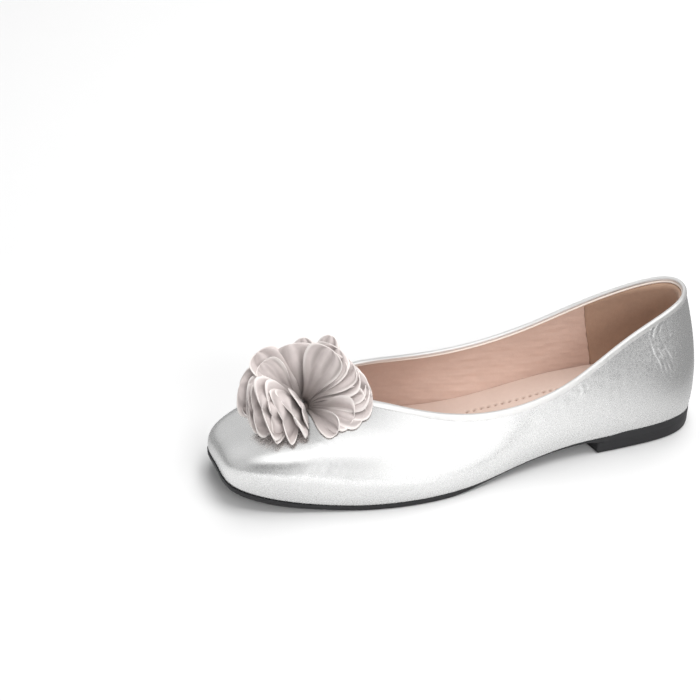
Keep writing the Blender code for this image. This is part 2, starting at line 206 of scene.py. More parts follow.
def outward(points: Array, quads: Array) -> Array:
    """The quads turned so that the closed shape's signed volume is positive.

    Args:
        points: Points of the shape.
        quads: Four point numbers for each face.

    Returns:
        The quads, all turned over or all left.
    """
    a, b, c, d = (points[quads[:, k]] for k in range(4))
    volume = np.sum(a * np.cross(b, c)) + np.sum(a * np.cross(c, d))
    return quads if volume > 0.0 else quads[:, ::-1]


@dataclass
class Shell:
    """A closed surface: points, quads, and named values at the points."""

    points: Array
    quads: Array
    values: dict[str, Array] = field(default_factory=dict)

    @classmethod
    def tube(cls, grid: Array, wrap: bool, **values: Array) -> "Shell":
        """A profile carried along a path: quads between neighbouring rings of a grid.

        Args:
            grid: Points as rings along the path by places round the profile.
            wrap: Whether the last ring joins the first.
            **values: Named values on the same grid.

        Returns:
            The surface, with its faces outwards.
        """
        rings, around = grid.shape[:2]
        ring = np.arange(rings if wrap else rings - 1)[:, None] * np.ones((1, around), int)
        place = np.arange(around)[None, :] * np.ones_like(ring)
        after, beside = (ring + 1) % rings, (place + 1) % around
        near, far = ring * around, after * around
        corners = [near + place, far + place, far + beside, near + beside]
        points = grid.reshape(-1, 3)
        quads = np.stack(corners, axis=-1).reshape(-1, 4)
        return cls(points, outward(points, quads), {k: v.reshape(-1) for k, v in values.items()})

    @classmethod
    def together(cls, shells: list["Shell"]) -> "Shell":
        """Several surfaces as one, each left closed.

        Args:
            shells: Surfaces with the same named values.

        Returns:
            The one surface.
        """
        starts = np.cumsum([0] + [len(s.points) for s in shells])
        quads = np.concatenate([s.quads + start for s, start in zip(shells, starts)])
        values = {k: np.concatenate([s.values[k] for s in shells]) for k in shells[0].values}
        return cls(np.concatenate([s.points for s in shells]), quads, values)


# The shape that all pieces share


class Profile(NamedTuple):
    """One profile of the upper, from its foot on the sole to the topline.

    Along, across and height are shares of the length, ball width and counter height. Flare is the wall's
    outward lean at its foot and rise its slope at the topline. The pulls say how far each end keeps its way.
    """

    foot_along: float
    foot_across: float
    flare: float
    foot_pull: float
    top_along: float
    top_across: float
    top_height: float
    rise: float
    top_pull: float


PROFILES = (
    Profile(0.0080, 0.000, 11, 24, 0.0235, 0.000, 0.993, 78, 18),  # back of the heel
    Profile(0.0370, -0.216, 12, 22, 0.0500, -0.148, 0.968, 80, 17),
    Profile(0.1400, -0.321, 10, 16, 0.1600, -0.250, 0.833, 80, 14),
    Profile(0.2850, -0.352, 10, 12, 0.3050, -0.327, 0.580, 80, 10),  # outer shank
    Profile(0.4170, -0.420, 12, 10, 0.4400, -0.346, 0.476, 68, 9),
    Profile(0.5600, -0.525, 12, 12, 0.5650, -0.305, 0.509, 42, 12),
    Profile(0.7020, -0.525, 10, 20, 0.6540, -0.214, 0.571, 30, 16),  # outer ball
    Profile(0.8270, -0.443, 10, 23, 0.7130, -0.120, 0.599, 24, 26),
    Profile(0.9280, -0.346, 10, 23, 0.7330, -0.070, 0.604, 21, 38),
    Profile(0.9790, -0.226, 9, 22, 0.7410, -0.035, 0.607, 19, 44),
    Profile(0.9930, 0.006, 8, 20, 0.7440, 0.000, 0.609, 18, 45),  # toe
    Profile(0.9920, 0.222, 6, 18, 0.7435, 0.050, 0.614, 19, 38),
    Profile(0.9490, 0.340, 6, 19, 0.7350, 0.115, 0.622, 21, 33),
    Profile(0.8420, 0.426, 6, 20, 0.7080, 0.195, 0.628, 24, 24),
    Profile(0.7280, 0.467, 8, 18, 0.6530, 0.236, 0.616, 30, 17),  # inner ball
    Profile(0.5920, 0.414, 12, 13, 0.5630, 0.307, 0.555, 46, 12),
    Profile(0.4400, 0.319, 16, 12, 0.4390, 0.334, 0.550, 74, 10),
    Profile(0.2880, 0.306, 14, 12, 0.3040, 0.325, 0.648, 82, 11),  # inner shank
    Profile(0.1340, 0.316, 11, 16, 0.1560, 0.262, 0.844, 81, 14),
    Profile(0.0360, 0.214, 12, 22, 0.0480, 0.150, 0.969, 80, 17),
)
TOE_PROFILE = 10


@dataclass
class Skin:
    """The upper's outer face: one cubic curve from foot to topline at each place around the shoe."""

    handles: tuple[Array, Array, Array, Array]
    steps: int = 96

    def __post_init__(self) -> None:
        """Measure the curves' lengths."""
        count = len(self.handles[0])
        t = np.broadcast_to(np.linspace(0.0, 1.0, self.steps), (count, self.steps))
        legs = np.linalg.norm(np.diff(self.curve(t), axis=1), axis=2)
        self.run = np.concatenate([np.zeros((count, 1)), np.cumsum(legs, axis=1)], axis=1)
        self.whole = self.run[:, -1]

    def curve(self, t: Array) -> Array:
        """Points of the cubic curves.

        Args:
            t: Parameters from 0 to 1, one row for each curve.

        Returns:
            The points.
        """
        a, b, c, d = (h[:, None, :] for h in self.handles)
        t = t[..., None]
        return a * (1 - t) ** 3 + 3 * b * t * (1 - t) ** 2 + 3 * c * t**2 * (1 - t) + d * t**3

    def slope(self, t: Array) -> Array:
        """Unit directions of the cubic curves, upwards.

        Args:
            t: Parameters from 0 to 1, one row for each curve.

        Returns:
            The directions.
        """
        a, b, c, d = (h[:, None, :] for h in self.handles)
        t = t[..., None]
        return unit((b - a) * (1 - t) ** 2 + 2 * (c - b) * t * (1 - t) + (d - c) * t**2)

    def rows(self, lengths: Array) -> tuple[Array, Array]:
        """Points at given lengths up the wall, carried straight on past its ends, and outward normals.

        The parameter of a length is read back from the measured lengths. The normal is the cross product
        of the way around and the way up.

        Args:
            lengths: Lengths from the foot, as places around by rows.

        Returns:
            The points and the normals.
        """
        inside = np.clip(lengths, 0.0, self.whole[:, None])
        after = np.clip((self.run[:, None, :] < inside[:, :, None]).sum(axis=2), 1, self.steps - 1)
        low = np.take_along_axis(self.run, after - 1, axis=1)
        high = np.take_along_axis(self.run, after, axis=1)
        t = (after - 1 + (inside - low) / np.maximum(high - low, 1e-9)) / (self.steps - 1)
        up = self.slope(t)
        points = self.curve(t) + (lengths - inside)[..., None] * up
        around = np.roll(points, -1, axis=0) - np.roll(points, 1, axis=0)
        return points, unit(np.cross(around, up))

    def below(self, depths: Array) -> Array:
        """Lengths from the foot of rows that lie the given distances below the topline."""
        return self.whole[:, None] - depths[None, :]


@dataclass(frozen=True)
class ShoeLast:
    """The shape inside the shoe: the sole's line, the outline of the upper's foot, and the upper's skin."""

    length: float = 240.0
    ball_width: float = 81.0
    counter_height: float = 71.0
    seat_height: float = 8.6
    sole_thickness: float = 2.6
    toe_spring: float = 9.0
    spring_start: float = 171.0
    shank_start: float = 60.0
    shank_end: float = 133.0
    seat_rise: float = 0.4
    seat_rise_length: float = 55.0
    gap: float = 0.3
    wall: float = 1.8
    centre_along: float = 119.879
    centre_across: float = -2.899
    quarter: float = 32.0
    quarter_reach: float = 19.0

    def to_frame(self, points: Array) -> Array:
        """Shoe measures turned into the frame: metres, toe towards -X."""
        along, across, height = points[:, 0], points[:, 1], points[:, 2]
        return np.column_stack([self.centre_along - along, across - self.centre_across, height]) * MM

    def sole_top(self, along: Array) -> Array:
        """Height of the outsole's upper face: level seat, falling shank, level tread, then toe spring.

        Args:
            along: Places along the shoe.

        Returns:
            The height at each place.
        """
        seat = self.seat_height + self.seat_rise * np.clip(1.0 - along / self.seat_rise_length, 0.0, 1.0)
        height = seat + (self.sole_thickness - seat) * smooth_step(along, self.shank_start, self.shank_end)
        spring = np.clip((along - self.spring_start) / (self.length - self.spring_start), 0.0, 1.0)
        return height + self.toe_spring * spring**2

    def sole_base(self, along: Array) -> Array:
        """Height of the outsole's underside."""
        return self.sole_top(along) - self.sole_thickness

    def columns(self) -> tuple[Array, Array, Array]:
        """The profile table in millimetres and degrees.

        Returns:
            Feet in plan, topline points, and the four shape columns.
        """
        table = np.array(PROFILES)
        feet = table[:, :2] * [self.length, self.ball_width]
        tops = table[:, 4:7] * [self.length, self.ball_width, self.counter_height]
        return feet, tops, table[:, [2, 3, 7, 8]]

    def loops(self, around: int, crowding: float = 0.0) -> tuple[Array, Array, Array]:
        """Foot loop, topline loop and shape columns, with half of the places on each side of the shoe.

        Places are even, or crowded towards the outer heel quarter: their density is 1 plus a bell there.

        Args:
            around: Number of places.
            crowding: Height of that bell.

        Returns:
            The two loops of points, and the flare, foot pull, rise and top pull at each.
        """
        feet, tops, shapes = self.columns()
        knots = chord_knots(feet)
        half = around // 2
        fine = np.linspace(0.0, knots[TOE_PROFILE], 2000)
        count = np.cumsum(1.0 + crowding * bell(fine - self.quarter, self.quarter_reach))
        outer = np.interp(np.linspace(count[0], count[-1], half, endpoint=False), count, fine)
        inner = np.linspace(knots[TOE_PROFILE], knots[-1], around - half, endpoint=False)
        at = np.concatenate([outer, inner])
        foot = closed_spline(knots, feet, at)
        foot = np.column_stack([foot, self.sole_top(foot[:, 0]) + self.gap])
        return foot, closed_spline(knots, tops, at), closed_spline(knots, shapes, at)

    def skin(self, around: int, crowding: float = 0.0) -> Skin:
        """The upper's outer face: cubics that leave the foot at the flare and meet the topline at the rise.

        Args:
            around: Number of places around the shoe.
            crowding: How much closer they stand at the outer heel quarter.

        Returns:
            The face.
        """
        foot, top, shape = self.loops(around, crowding)
        flare, foot_pull, rise, top_pull = (shape[:, [k]] for k in range(4))
        flare, rise = np.radians(flare), np.radians(rise)
        up = np.array([[0.0, 0.0, 1.0]])
        foot_handle = foot + foot_pull * (np.cos(flare) * up + np.sin(flare) * plan_normals(foot))
        top_handle = top + top_pull * (np.cos(rise) * plan_normals(top) - np.sin(rise) * up)
        return Skin((foot, foot_handle, top_handle, top))

    @staticmethod
    def inner_order(rungs: int) -> Array:
        """Numbers of the inner half's places from heel to toe, in a loop of twice the rungs."""
        return np.concatenate([[0], np.arange(2 * rungs - 1, rungs - 1, -1)])

    def sides(self, rungs: int) -> tuple[tuple[Array, Array], tuple[Array, Array]]:
        """The outer and the inner half of the outline, paired from heel to toe.

        Args:
            rungs: Number of steps from heel to toe.

        Returns:
            Plan points and outward ways of each half.
        """
        foot = self.loops(2 * rungs)[0]
        out = plan_normals(foot)[:, :2]
        back = self.inner_order(rungs)
        return (foot[: rungs + 1, :2], out[: rungs + 1]), (foot[back, :2], out[back])


LAST = ShoeLast()


def make_piece(
    name: str, shell: Shell, finish: "Finish", node: Node, crease: float = 180.0
) -> Piece:
    """One finished piece: the closed surface put in the frame, dressed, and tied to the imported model.

    Args:
        name: Name of the piece.
        shell: Its surface in shoe measures.
        finish: What it is made of.
        node: The solid that it stands for.
        crease: Angle in degrees past which an edge is shaded sharp.

    Returns:
        The object.
    """
    placed = LAST.to_frame(shell.points)
    mesh = bpy.data.meshes.new(name)
    mesh.from_pydata(placed, [], outward(placed, shell.quads))
    for key, value in shell.values.items():
        mesh.attributes.new(key, "FLOAT", "POINT").data.foreach_set("value", value.astype(np.float32))
    work = bmesh.new()
    work.from_mesh(mesh)
    bmesh.ops.remove_doubles(work, verts=work.verts, dist=2e-6)
    bmesh.ops.dissolve_degenerate(work, edges=work.edges, dist=1e-7)
    work.to_mesh(mesh)
    work.free()
    mesh.shade_smooth()
    if crease < 180.0:
        mesh.set_sharp_from_angle(angle=math.radians(crease))
    mesh.materials.append(finish.material())
    piece = bpy.data.objects.new(name, mesh)
    bpy.context.scene.collection.objects.link(piece)
    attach(piece, "root")
    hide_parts(node.value)
    triangles = sum(len(p.vertices) - 2 for p in mesh.polygons)
    log.info("%s: %d triangles, stands for %s", name, triangles, node.value)
    return piece


# Finishes


class Graph:
    """Adds nodes to a node tree and links them by socket name."""

    def __init__(self, tree: Tree) -> None:
        """Keep the tree."""
        self.tree = tree

    def add(self, kind: str, inputs: dict[Any, Any] | None = None, **settings: Any) -> bpy.types.Node:
        """A new node with its settings made and its inputs set or linked.

        Args:
            kind: Node type.
            inputs: Input names or numbers, each with a value or an output socket.
            **settings: Properties of the node.

        Returns:
            The node.
        """
        node = self.tree.nodes.new(kind)
        for key, value in settings.items():
            setattr(node, key, value)
        for key, value in (inputs or {}).items():
            if isinstance(value, Socket):
                self.tree.links.new(value, node.inputs[key])
            else:
                node.inputs[key].default_value = value
        return node

    def math(self, operation: str, a: Any, b: Any = 0.0) -> Socket:
        """The output of one Math node."""
        return self.add("ShaderNodeMath", {0: a, 1: b}, operation=operation).outputs[0]

    def vector(self, operation: str, a: Any, b: Any) -> bpy.types.Node:
        """One Vector Math node."""
        return self.add("ShaderNodeVectorMath", {0: a, 1: b}, operation=operation)

    def noise(self, place: Any, scale: Any, detail: float) -> bpy.types.Node:
        """One Noise Texture node."""
        return self.add("ShaderNodeTexNoise", {"Vector": place, "Scale": scale, "Detail": detail})

    def value(self, name: str) -> Socket:
        """The named value of the points."""
        return self.add("ShaderNodeAttribute", attribute_name=name).outputs["Fac"]

    def bump(self, height: Any, strength: float, distance: float) -> Socket:
        """The normal that a height bends."""
        inputs = {"Height": height, "Strength": strength, "Distance": distance}
        return self.add("ShaderNodeBump", inputs).outputs[0]

    def spread(self, value: Any, low: float, high: float, to_low: float, to_high: float) -> Socket:
        """A value's range carried to another range, and held at its ends."""
        ends = {"From Min": low, "From Max": high, "To Min": to_low, "To Max": to_high}
        return self.add("ShaderNodeMapRange", {"Value": value, **ends}).outputs["Result"]

    def blend(self, factor: Any, a: Any, b: Any) -> Socket:
        """Two colours mixed by a factor."""
        return self.add("ShaderNodeMix", {0: factor, 6: a, 7: b}, data_type="RGBA").outputs[2]


class Effect(Enum):
    """Surface effects that several finishes share, each one shader node group."""

    GRAIN = "hide_grain"
    TONE = "tone_drift"

    def tree(self) -> Tree:
        """The effect's node group, made at its first use."""
        made = bpy.data.node_groups.get(self.value)
        return made or (grain_group() if self is Effect.GRAIN else tone_group())


def rgba(colour: Colour) -> tuple[float, float, float, float]:
    """A colour with full alpha."""
    return (*colour, 1.0)


def new_group(effect: Effect, inputs: dict[str, str], outputs: dict[str, str]) -> tuple[Graph, Any, Any]:
    """An empty node group with named sockets.

    Args:
        effect: Which effect it is.
        inputs: Input names with their socket types.
        outputs: Output names with their socket types.

    Returns:
        The graph, and the nodes that hold its inputs and outputs.
    """
    tree = bpy.data.node_groups.new(effect.value, "ShaderNodeTree")
    for name, kind in inputs.items():
        tree.interface.new_socket(name, in_out="INPUT", socket_type=kind)
    for name, kind in outputs.items():
        tree.interface.new_socket(name, in_out="OUTPUT", socket_type=kind)
    graph = Graph(tree)
    return graph, graph.add("NodeGroupInput"), graph.add("NodeGroupOutput")


def grain_group() -> Tree:
    """Grain of a hide: rounded cells between fine valleys, broken up by a crumpled noise.

    Returns:
        The group. Height is for a bump, and Valley is 1 in the valleys.
    """
    number = "NodeSocketFloat"
    sockets = {"Vector": "NodeSocketVector", "Cell Scale": number, "Crumple": number}
    graph, given, made = new_group(Effect.GRAIN, sockets, {"Height": number, "Valley": number})
    place, scale = given.outputs["Vector"], given.outputs["Cell Scale"]
    drift = graph.noise(place, graph.math("MULTIPLY", scale, 0.35), 4.0)
    shift = graph.vector("MULTIPLY", drift.outputs["Color"], (0.0012, 0.0012, 0.0012))
    moved = graph.vector("ADD", place, shift.outputs[0]).outputs[0]
    cells = graph.add("ShaderNodeTexVoronoi", {"Vector": moved, "Scale": scale}, feature="DISTANCE_TO_EDGE")
    pebble = graph.spread(cells.outputs["Distance"], 0.0, 0.32, 0.0, 1.0)
    crumple = graph.math("MULTIPLY", drift.outputs["Fac"], given.outputs["Crumple"])
    height = graph.math("ADD", graph.math("MULTIPLY", pebble, 0.45), crumple)
    graph.tree.links.new(height, made.inputs["Height"])
    graph.tree.links.new(graph.math("SUBTRACT", 1.0, pebble), made.inputs["Valley"])
    return graph.tree


def tone_group() -> Tree:
    """Slow drift between two tones of one colour, with a finer mottle over it.

    Returns:
        The group. Colour is the drifting tone.
    """
    sockets = {"Vector": "NodeSocketVector", "Patch Scale": "NodeSocketFloat"}
    sockets |= {"Light": "NodeSocketColor", "Dark": "NodeSocketColor"}
    graph, given, made = new_group(Effect.TONE, sockets, {"Colour": "NodeSocketColor"})
    place, scale = given.outputs["Vector"], given.outputs["Patch Scale"]
    slow = graph.noise(place, scale, 2.0).outputs["Fac"]
    quick = graph.noise(place, graph.math("MULTIPLY", scale, 14.0), 3.0).outputs["Fac"]
    mixed = graph.math("ADD", graph.math("MULTIPLY", slow, 0.7), graph.math("MULTIPLY", quick, 0.3))
    factor = graph.spread(mixed, 0.36, 0.64, 0.0, 1.0)
    colour = graph.blend(factor, given.outputs["Dark"], given.outputs["Light"])
    graph.tree.links.new(colour, made.inputs["Colour"])
    return graph.tree


@dataclass(frozen=True)
class Finish:
    """What a piece is made of: its name, its two tones, and how rough it is where smooth and where worn."""

    name: str
    light: Colour
    dark: Colour
    smooth: float
    rough: float
    patch: float = 30.0

    def material(self) -> bpy.types.Material:
        """The finish's material, made at its first use.

        Returns:
            The material.
        """
        made = bpy.data.materials.get(self.name)
        if made:
            return made
        made = bpy.data.materials.new(self.name)
        made.use_nodes = True
        made.node_tree.nodes.clear()
        graph = Graph(made.node_tree)
        shader = graph.add("ShaderNodeBsdfPrincipled")
        graph.add("ShaderNodeOutputMaterial", {"Surface": shader.outputs[0]})
        place = graph.add("ShaderNodeTexCoord").outputs["Object"]
        self.dress(graph, shader, place)
        return made

    def link(self, graph: Graph, shader: bpy.types.Node, **sockets: Any) -> None:
        """Link outputs to the shader's inputs, whose names have underscores here for spaces."""
        for key, value in sockets.items():
            graph.tree.links.new(value, shader.inputs[key.replace("_", " ")])

    def tone(self, graph: Graph, place: Any) -> Socket:
        """The finish's drifting colour.

        Args:
            graph: The material's graph.
            place: Coordinates on the piece.

        Returns:
            The colour.
        """
        tones = {"Light": rgba(self.light), "Dark": rgba(self.dark)}
        inputs = {"Vector": place, "Patch Scale": self.patch, **tones}
        return graph.add("ShaderNodeGroup", inputs, node_tree=Effect.TONE.tree()).outputs["Colour"]

    def grain(self, graph: Graph, place: Any, cell: float, crumple: float) -> bpy.types.Node:
        """The shared hide grain at this finish's own scale."""
        inputs = {"Vector": place, "Cell Scale": cell, "Crumple": crumple}
        return graph.add("ShaderNodeGroup", inputs, node_tree=Effect.GRAIN.tree())

    def colour(self, graph: Graph, place: Any) -> Socket:
        """The finish's colour over the surface."""
        return self.tone(graph, place)

    def dress(self, graph: Graph, shader: bpy.types.Node, place: Any) -> None:
        """Give the shader its colour. Each kind of finish adds its own detail."""
        self.link(graph, shader, Base_Color=self.colour(graph, place))


@dataclass(frozen=True)
class LeatherFinish(Finish):
    """Leather: fine pebbled grain with rougher valleys."""

    cell: float = 1100.0
    crumple: float = 1.0
    relief: float = 0.00012
    strength: float = 0.35
    metal: float = 0.0
    sheen: float = 0.0

    def dress(self, graph: Graph, shader: bpy.types.Node, place: Any) -> None:
        """Colour from the drifting tone, roughness and bump from the grain.

        Args:
            graph: The material's graph.
            shader: Its shader.
            place: Coordinates on the piece.
        """
        grain = self.grain(graph, place, self.cell, self.crumple)
        rough = graph.spread(grain.outputs["Valley"], 0.0, 1.0, self.smooth, self.rough)
        bump = graph.bump(grain.outputs["Height"], self.strength, self.relief)
        self.link(graph, shader, Base_Color=self.colour(graph, place), Roughness=rough, Normal=bump)
        shader.inputs["Metallic"].default_value = self.metal
        shader.inputs["Sheen Weight"].default_value = self.sheen


@dataclass(frozen=True)
class MarkedLeather(LeatherFinish):
    """Leather with a mark of another colour on it: the lining's raw cut edge in its own colour, and on the
    sock painted shade in the punched holes.
    """

    mark: str = ""
    mark_and_shade_colour: Colour = (1.0, 1.0, 1.0)

    def colour(self, graph: Graph, place: Any) -> Socket:
        """The drifting tone, and the mark's colour where its value is 1."""
        return graph.blend(graph.value(self.mark), self.tone(graph, place), rgba(self.mark_and_shade_colour))


@dataclass(frozen=True)
class RubberFinish(Finish):
    """Moulded black rubber: fine scuffs along the edge and a matt skin."""

    def dress(self, graph: Graph, shader: bpy.types.Node, place: Any) -> None:
        """Roughness and a faint level brushing from stretched noise.

        Args:
            graph: The material's graph.
            shader: Its shader.
            place: Coordinates on the piece.
        """
        flat = graph.add("ShaderNodeMapping", {"Vector": place, "Scale": (60.0, 60.0, 2600.0)}).outputs[0]
        brushed = graph.noise(flat, 1.0, 3.0).outputs["Fac"]
        grain = self.grain(graph, place, 1700.0, 1.0)
        height = graph.math("ADD", graph.math("MULTIPLY", brushed, 0.6), grain.outputs["Height"])
        bump = graph.bump(height, 0.3, 0.0001)
        rough = graph.spread(brushed, 0.3, 0.7, self.smooth, self.rough)
        self.link(graph, shader, Base_Color=self.tone(graph, place), Roughness=rough, Normal=bump)


@dataclass(frozen=True)
class ClothFinish(Finish):
    """Cut fabric: a fine weave on the petal's own length and width, a painted highlight along its edges, and
    painted shade towards its root and in its pleats' valleys.
    """

    # Colour of the painted highlight along the petals' edges, towards their tips.
    edge: Colour = (0.92, 0.87, 0.84)
    # Colour of the painted shade towards each petal's root, in the pleats' valleys, and all over the core.
    root: Colour = (0.1, 0.08, 0.073)
    threads: float = 2.6

    def dress(self, graph: Graph, shader: bpy.types.Node, place: Any) -> None:
        """Tone, weave, painted edge highlight, and painted shade at the root and in the pleats' valleys,
        from the petal's own attributes.

        Args:
            graph: The material's graph.
            shader: Its shader.
            place: Coordinates on the piece.
        """
        along, across, rim, fold_shade = (graph.value(name) for name in PETAL_VALUES)
        turns = 2.0 * math.pi * self.threads
        warp = graph.math("SINE", graph.math("MULTIPLY", along, turns))
        weft = graph.math("SINE", graph.math("MULTIPLY", across, turns))
        weave = graph.math("MULTIPLY", warp, weft)
        fuzz = graph.noise(place, 900.0, 4.0).outputs["Fac"]
        height = graph.math("ADD", graph.math("MULTIPLY", weave, 0.35), fuzz)
        bump = graph.bump(height, 0.25, 0.00012)
        # Painted highlight: paler near the petal's edges, only away from the root.
        outer = graph.spread(along, 9.0, 18.0, 0.0, 0.8)
        pale = graph.math("MULTIPLY", rim, outer)
        # Painted shade: darker towards the root and in the pleats' valleys.
        root_shade = graph.spread(along, 0.0, 19.0, 1.0, 0.0)
        sunk = graph.math("MAXIMUM", root_shade, graph.math("MULTIPLY", fold_shade, 0.4))
        shaded = graph.blend(sunk, self.tone(graph, place), rgba(self.root))
        colour = graph.blend(pale, shaded, rgba(self.edge))
        rough = graph.spread(fuzz, 0.3, 0.7, self.smooth, self.rough)
        self.link(graph, shader, Base_Color=colour, Roughness=rough, Normal=bump)
        shader.inputs["Sheen Weight"].default_value = 0.25
        shader.inputs["Sheen Roughness"].default_value = 0.4


SILVER = LeatherFinish(
    "silver_leather_dressed",
    (0.83, 0.83, 0.825),
    (0.79, 0.79, 0.79),
    0.23,
    0.3,
    metal=1.0,
    strength=0.06,
    cell=520.0,
)
TRIM = LeatherFinish(
    "silver_binding_dressed",
    (0.86, 0.855, 0.845),
    (0.8, 0.795, 0.785),
    0.28,
    0.38,
    metal=0.85,
    strength=0.06,
)
LINING = MarkedLeather(
    "tan_lining_dressed",
    (0.70, 0.515, 0.435),
    (0.64, 0.46, 0.385),
    0.42,
    0.6,
    cell=1500.0,
    sheen=0.1,
    mark="raw_edge",
    mark_and_shade_colour=(0.93, 0.84, 0.77),
)
# The heel grip's brown is partly its own suede colour and partly painted shade, set darker than the lining
# for the shade inside the heel.
GRIP = LeatherFinish(
    "brown_grip_shaded_dressed",
    (0.46, 0.3, 0.212),
    (0.39, 0.25, 0.178),
    0.7,
    0.85,
    cell=2200.0,
    crumple=2.0,
    sheen=0.3,
)
SOCK = MarkedLeather(
    "tan_sock_dressed",
    (0.69, 0.55, 0.48),
    (0.64, 0.5, 0.43),
    0.42,
    0.58,
    cell=1700.0,
    sheen=0.1,
    mark="punched",
    # Painted shade: a dark colour in the shallow perforation dents, standing for the shade inside holes.
    mark_and_shade_colour=(0.24, 0.13, 0.085),
)
RUBBER = RubberFinish("black_rubber_dressed", (0.014, 0.014, 0.0155), (0.010, 0.010, 0.0115), 0.45, 0.62)
CLOTH = ClothFinish("greige_cloth_dressed", (0.63, 0.565, 0.55), (0.54, 0.48, 0.465), 0.55, 0.75)
# The core is painted shade: with all petal values at 0 it shows the near-black root colour.
SHADED_CORE = ClothFinish("shaded_core_dressed", (0.12, 0.105, 0.1), (0.09, 0.08, 0.075), 0.7, 0.85)


# Upper


class Crease(NamedTuple):
    """One crease in the outer quarter: a sharp trough with a low ridge on each side, along a line.

    The line's points give along and height, since the quarter is seen from the side.
    """

    width: float
    depth: float
    path: tuple[tuple[float, float], ...]


CREASES = (
    Crease(
        0.6,
        0.14,
        (
            (23.5, 64.1), (25.8, 62.3), (27.9, 59.6), (28.5, 56.3),
            (27.1, 51.5), (24.1, 45.4), (22.7, 39.6), (20.3, 34.4),
        ),
    ),
    Crease(0.6, 0.14, ((23.8, 61.2), (25.2, 57.4), (24.2, 54.7), (22.3, 49.9), (19.5, 43.7), (17.1, 36.9))),
    Crease(0.6, 0.13, ((21.3, 63.6), (20.2, 58.6), (18.9, 55.0))),
    Crease(0.6, 0.13, ((31.1, 56.9), (29.7, 53.1), (28.3, 47.4), (25.6, 42.6), (24.3, 38.0))),
    Crease(0.6, 0.14, ((21.3, 47.6), (18.1, 42.3), (15.3, 38.8))),
    Crease(0.55, 0.12, ((20.5, 40.0), (17.8, 34.7))),
    Crease(0.6, 0.12, ((31.8, 62.1), (29.6, 60.7), (27.2, 63.4))),
    Crease(0.6, 0.12, ((21.9, 58.1), (19.9, 52.7), (16.2, 45.6))),
    Crease(0.55, 0.11, ((30.3, 59.8), (26.8, 56.0), (25.7, 50.0))),
    Crease(0.55, 0.11, ((22.6, 43.8), (20.7, 39.8), (19.2, 33.2))),
    Crease(0.6, 0.1, ((64.6, 40.4), (63.2, 38.2), (64.2, 36.4))),
    Crease(0.6, 0.1, ((67.5, 39.0), (66.0, 37.0), (67.4, 35.0))),
)


@dataclass(frozen=True)
class CrinkledZone:
    """A patch of fine crinkles on the leather: ripples that fade out from its middle."""

    middle: tuple[float, float, float]
    reach: float
    wave: float
    depth: float
    seed: int

    def relief(self, points: Array) -> Array:
        """Height of the crinkles at each point."""
        near = bell(np.linalg.norm(points - np.array(self.middle), axis=-1), self.reach)
        return self.depth * near * ripple(points, self.wave, 18, self.seed)


ZONES = (
    CrinkledZone((194.0, -30.5, 25.0), 13.0, 2.6, 0.022, 3),
    CrinkledZone((205.0, -30.0, 23.0), 16.0, 6.0, 0.03, 13),
    CrinkledZone((24.0, -20.0, 50.0), 15.0, 4.0, 0.03, 5),
    CrinkledZone((62.0, -26.5, 36.0), 20.0, 6.5, 0.04, 15),
    CrinkledZone((66.0, -26.5, 38.0), 9.0, 2.6, 0.018, 17),
    CrinkledZone((150.0, 27.0, 32.0), 18.0, 4.5, 0.03, 7),
)


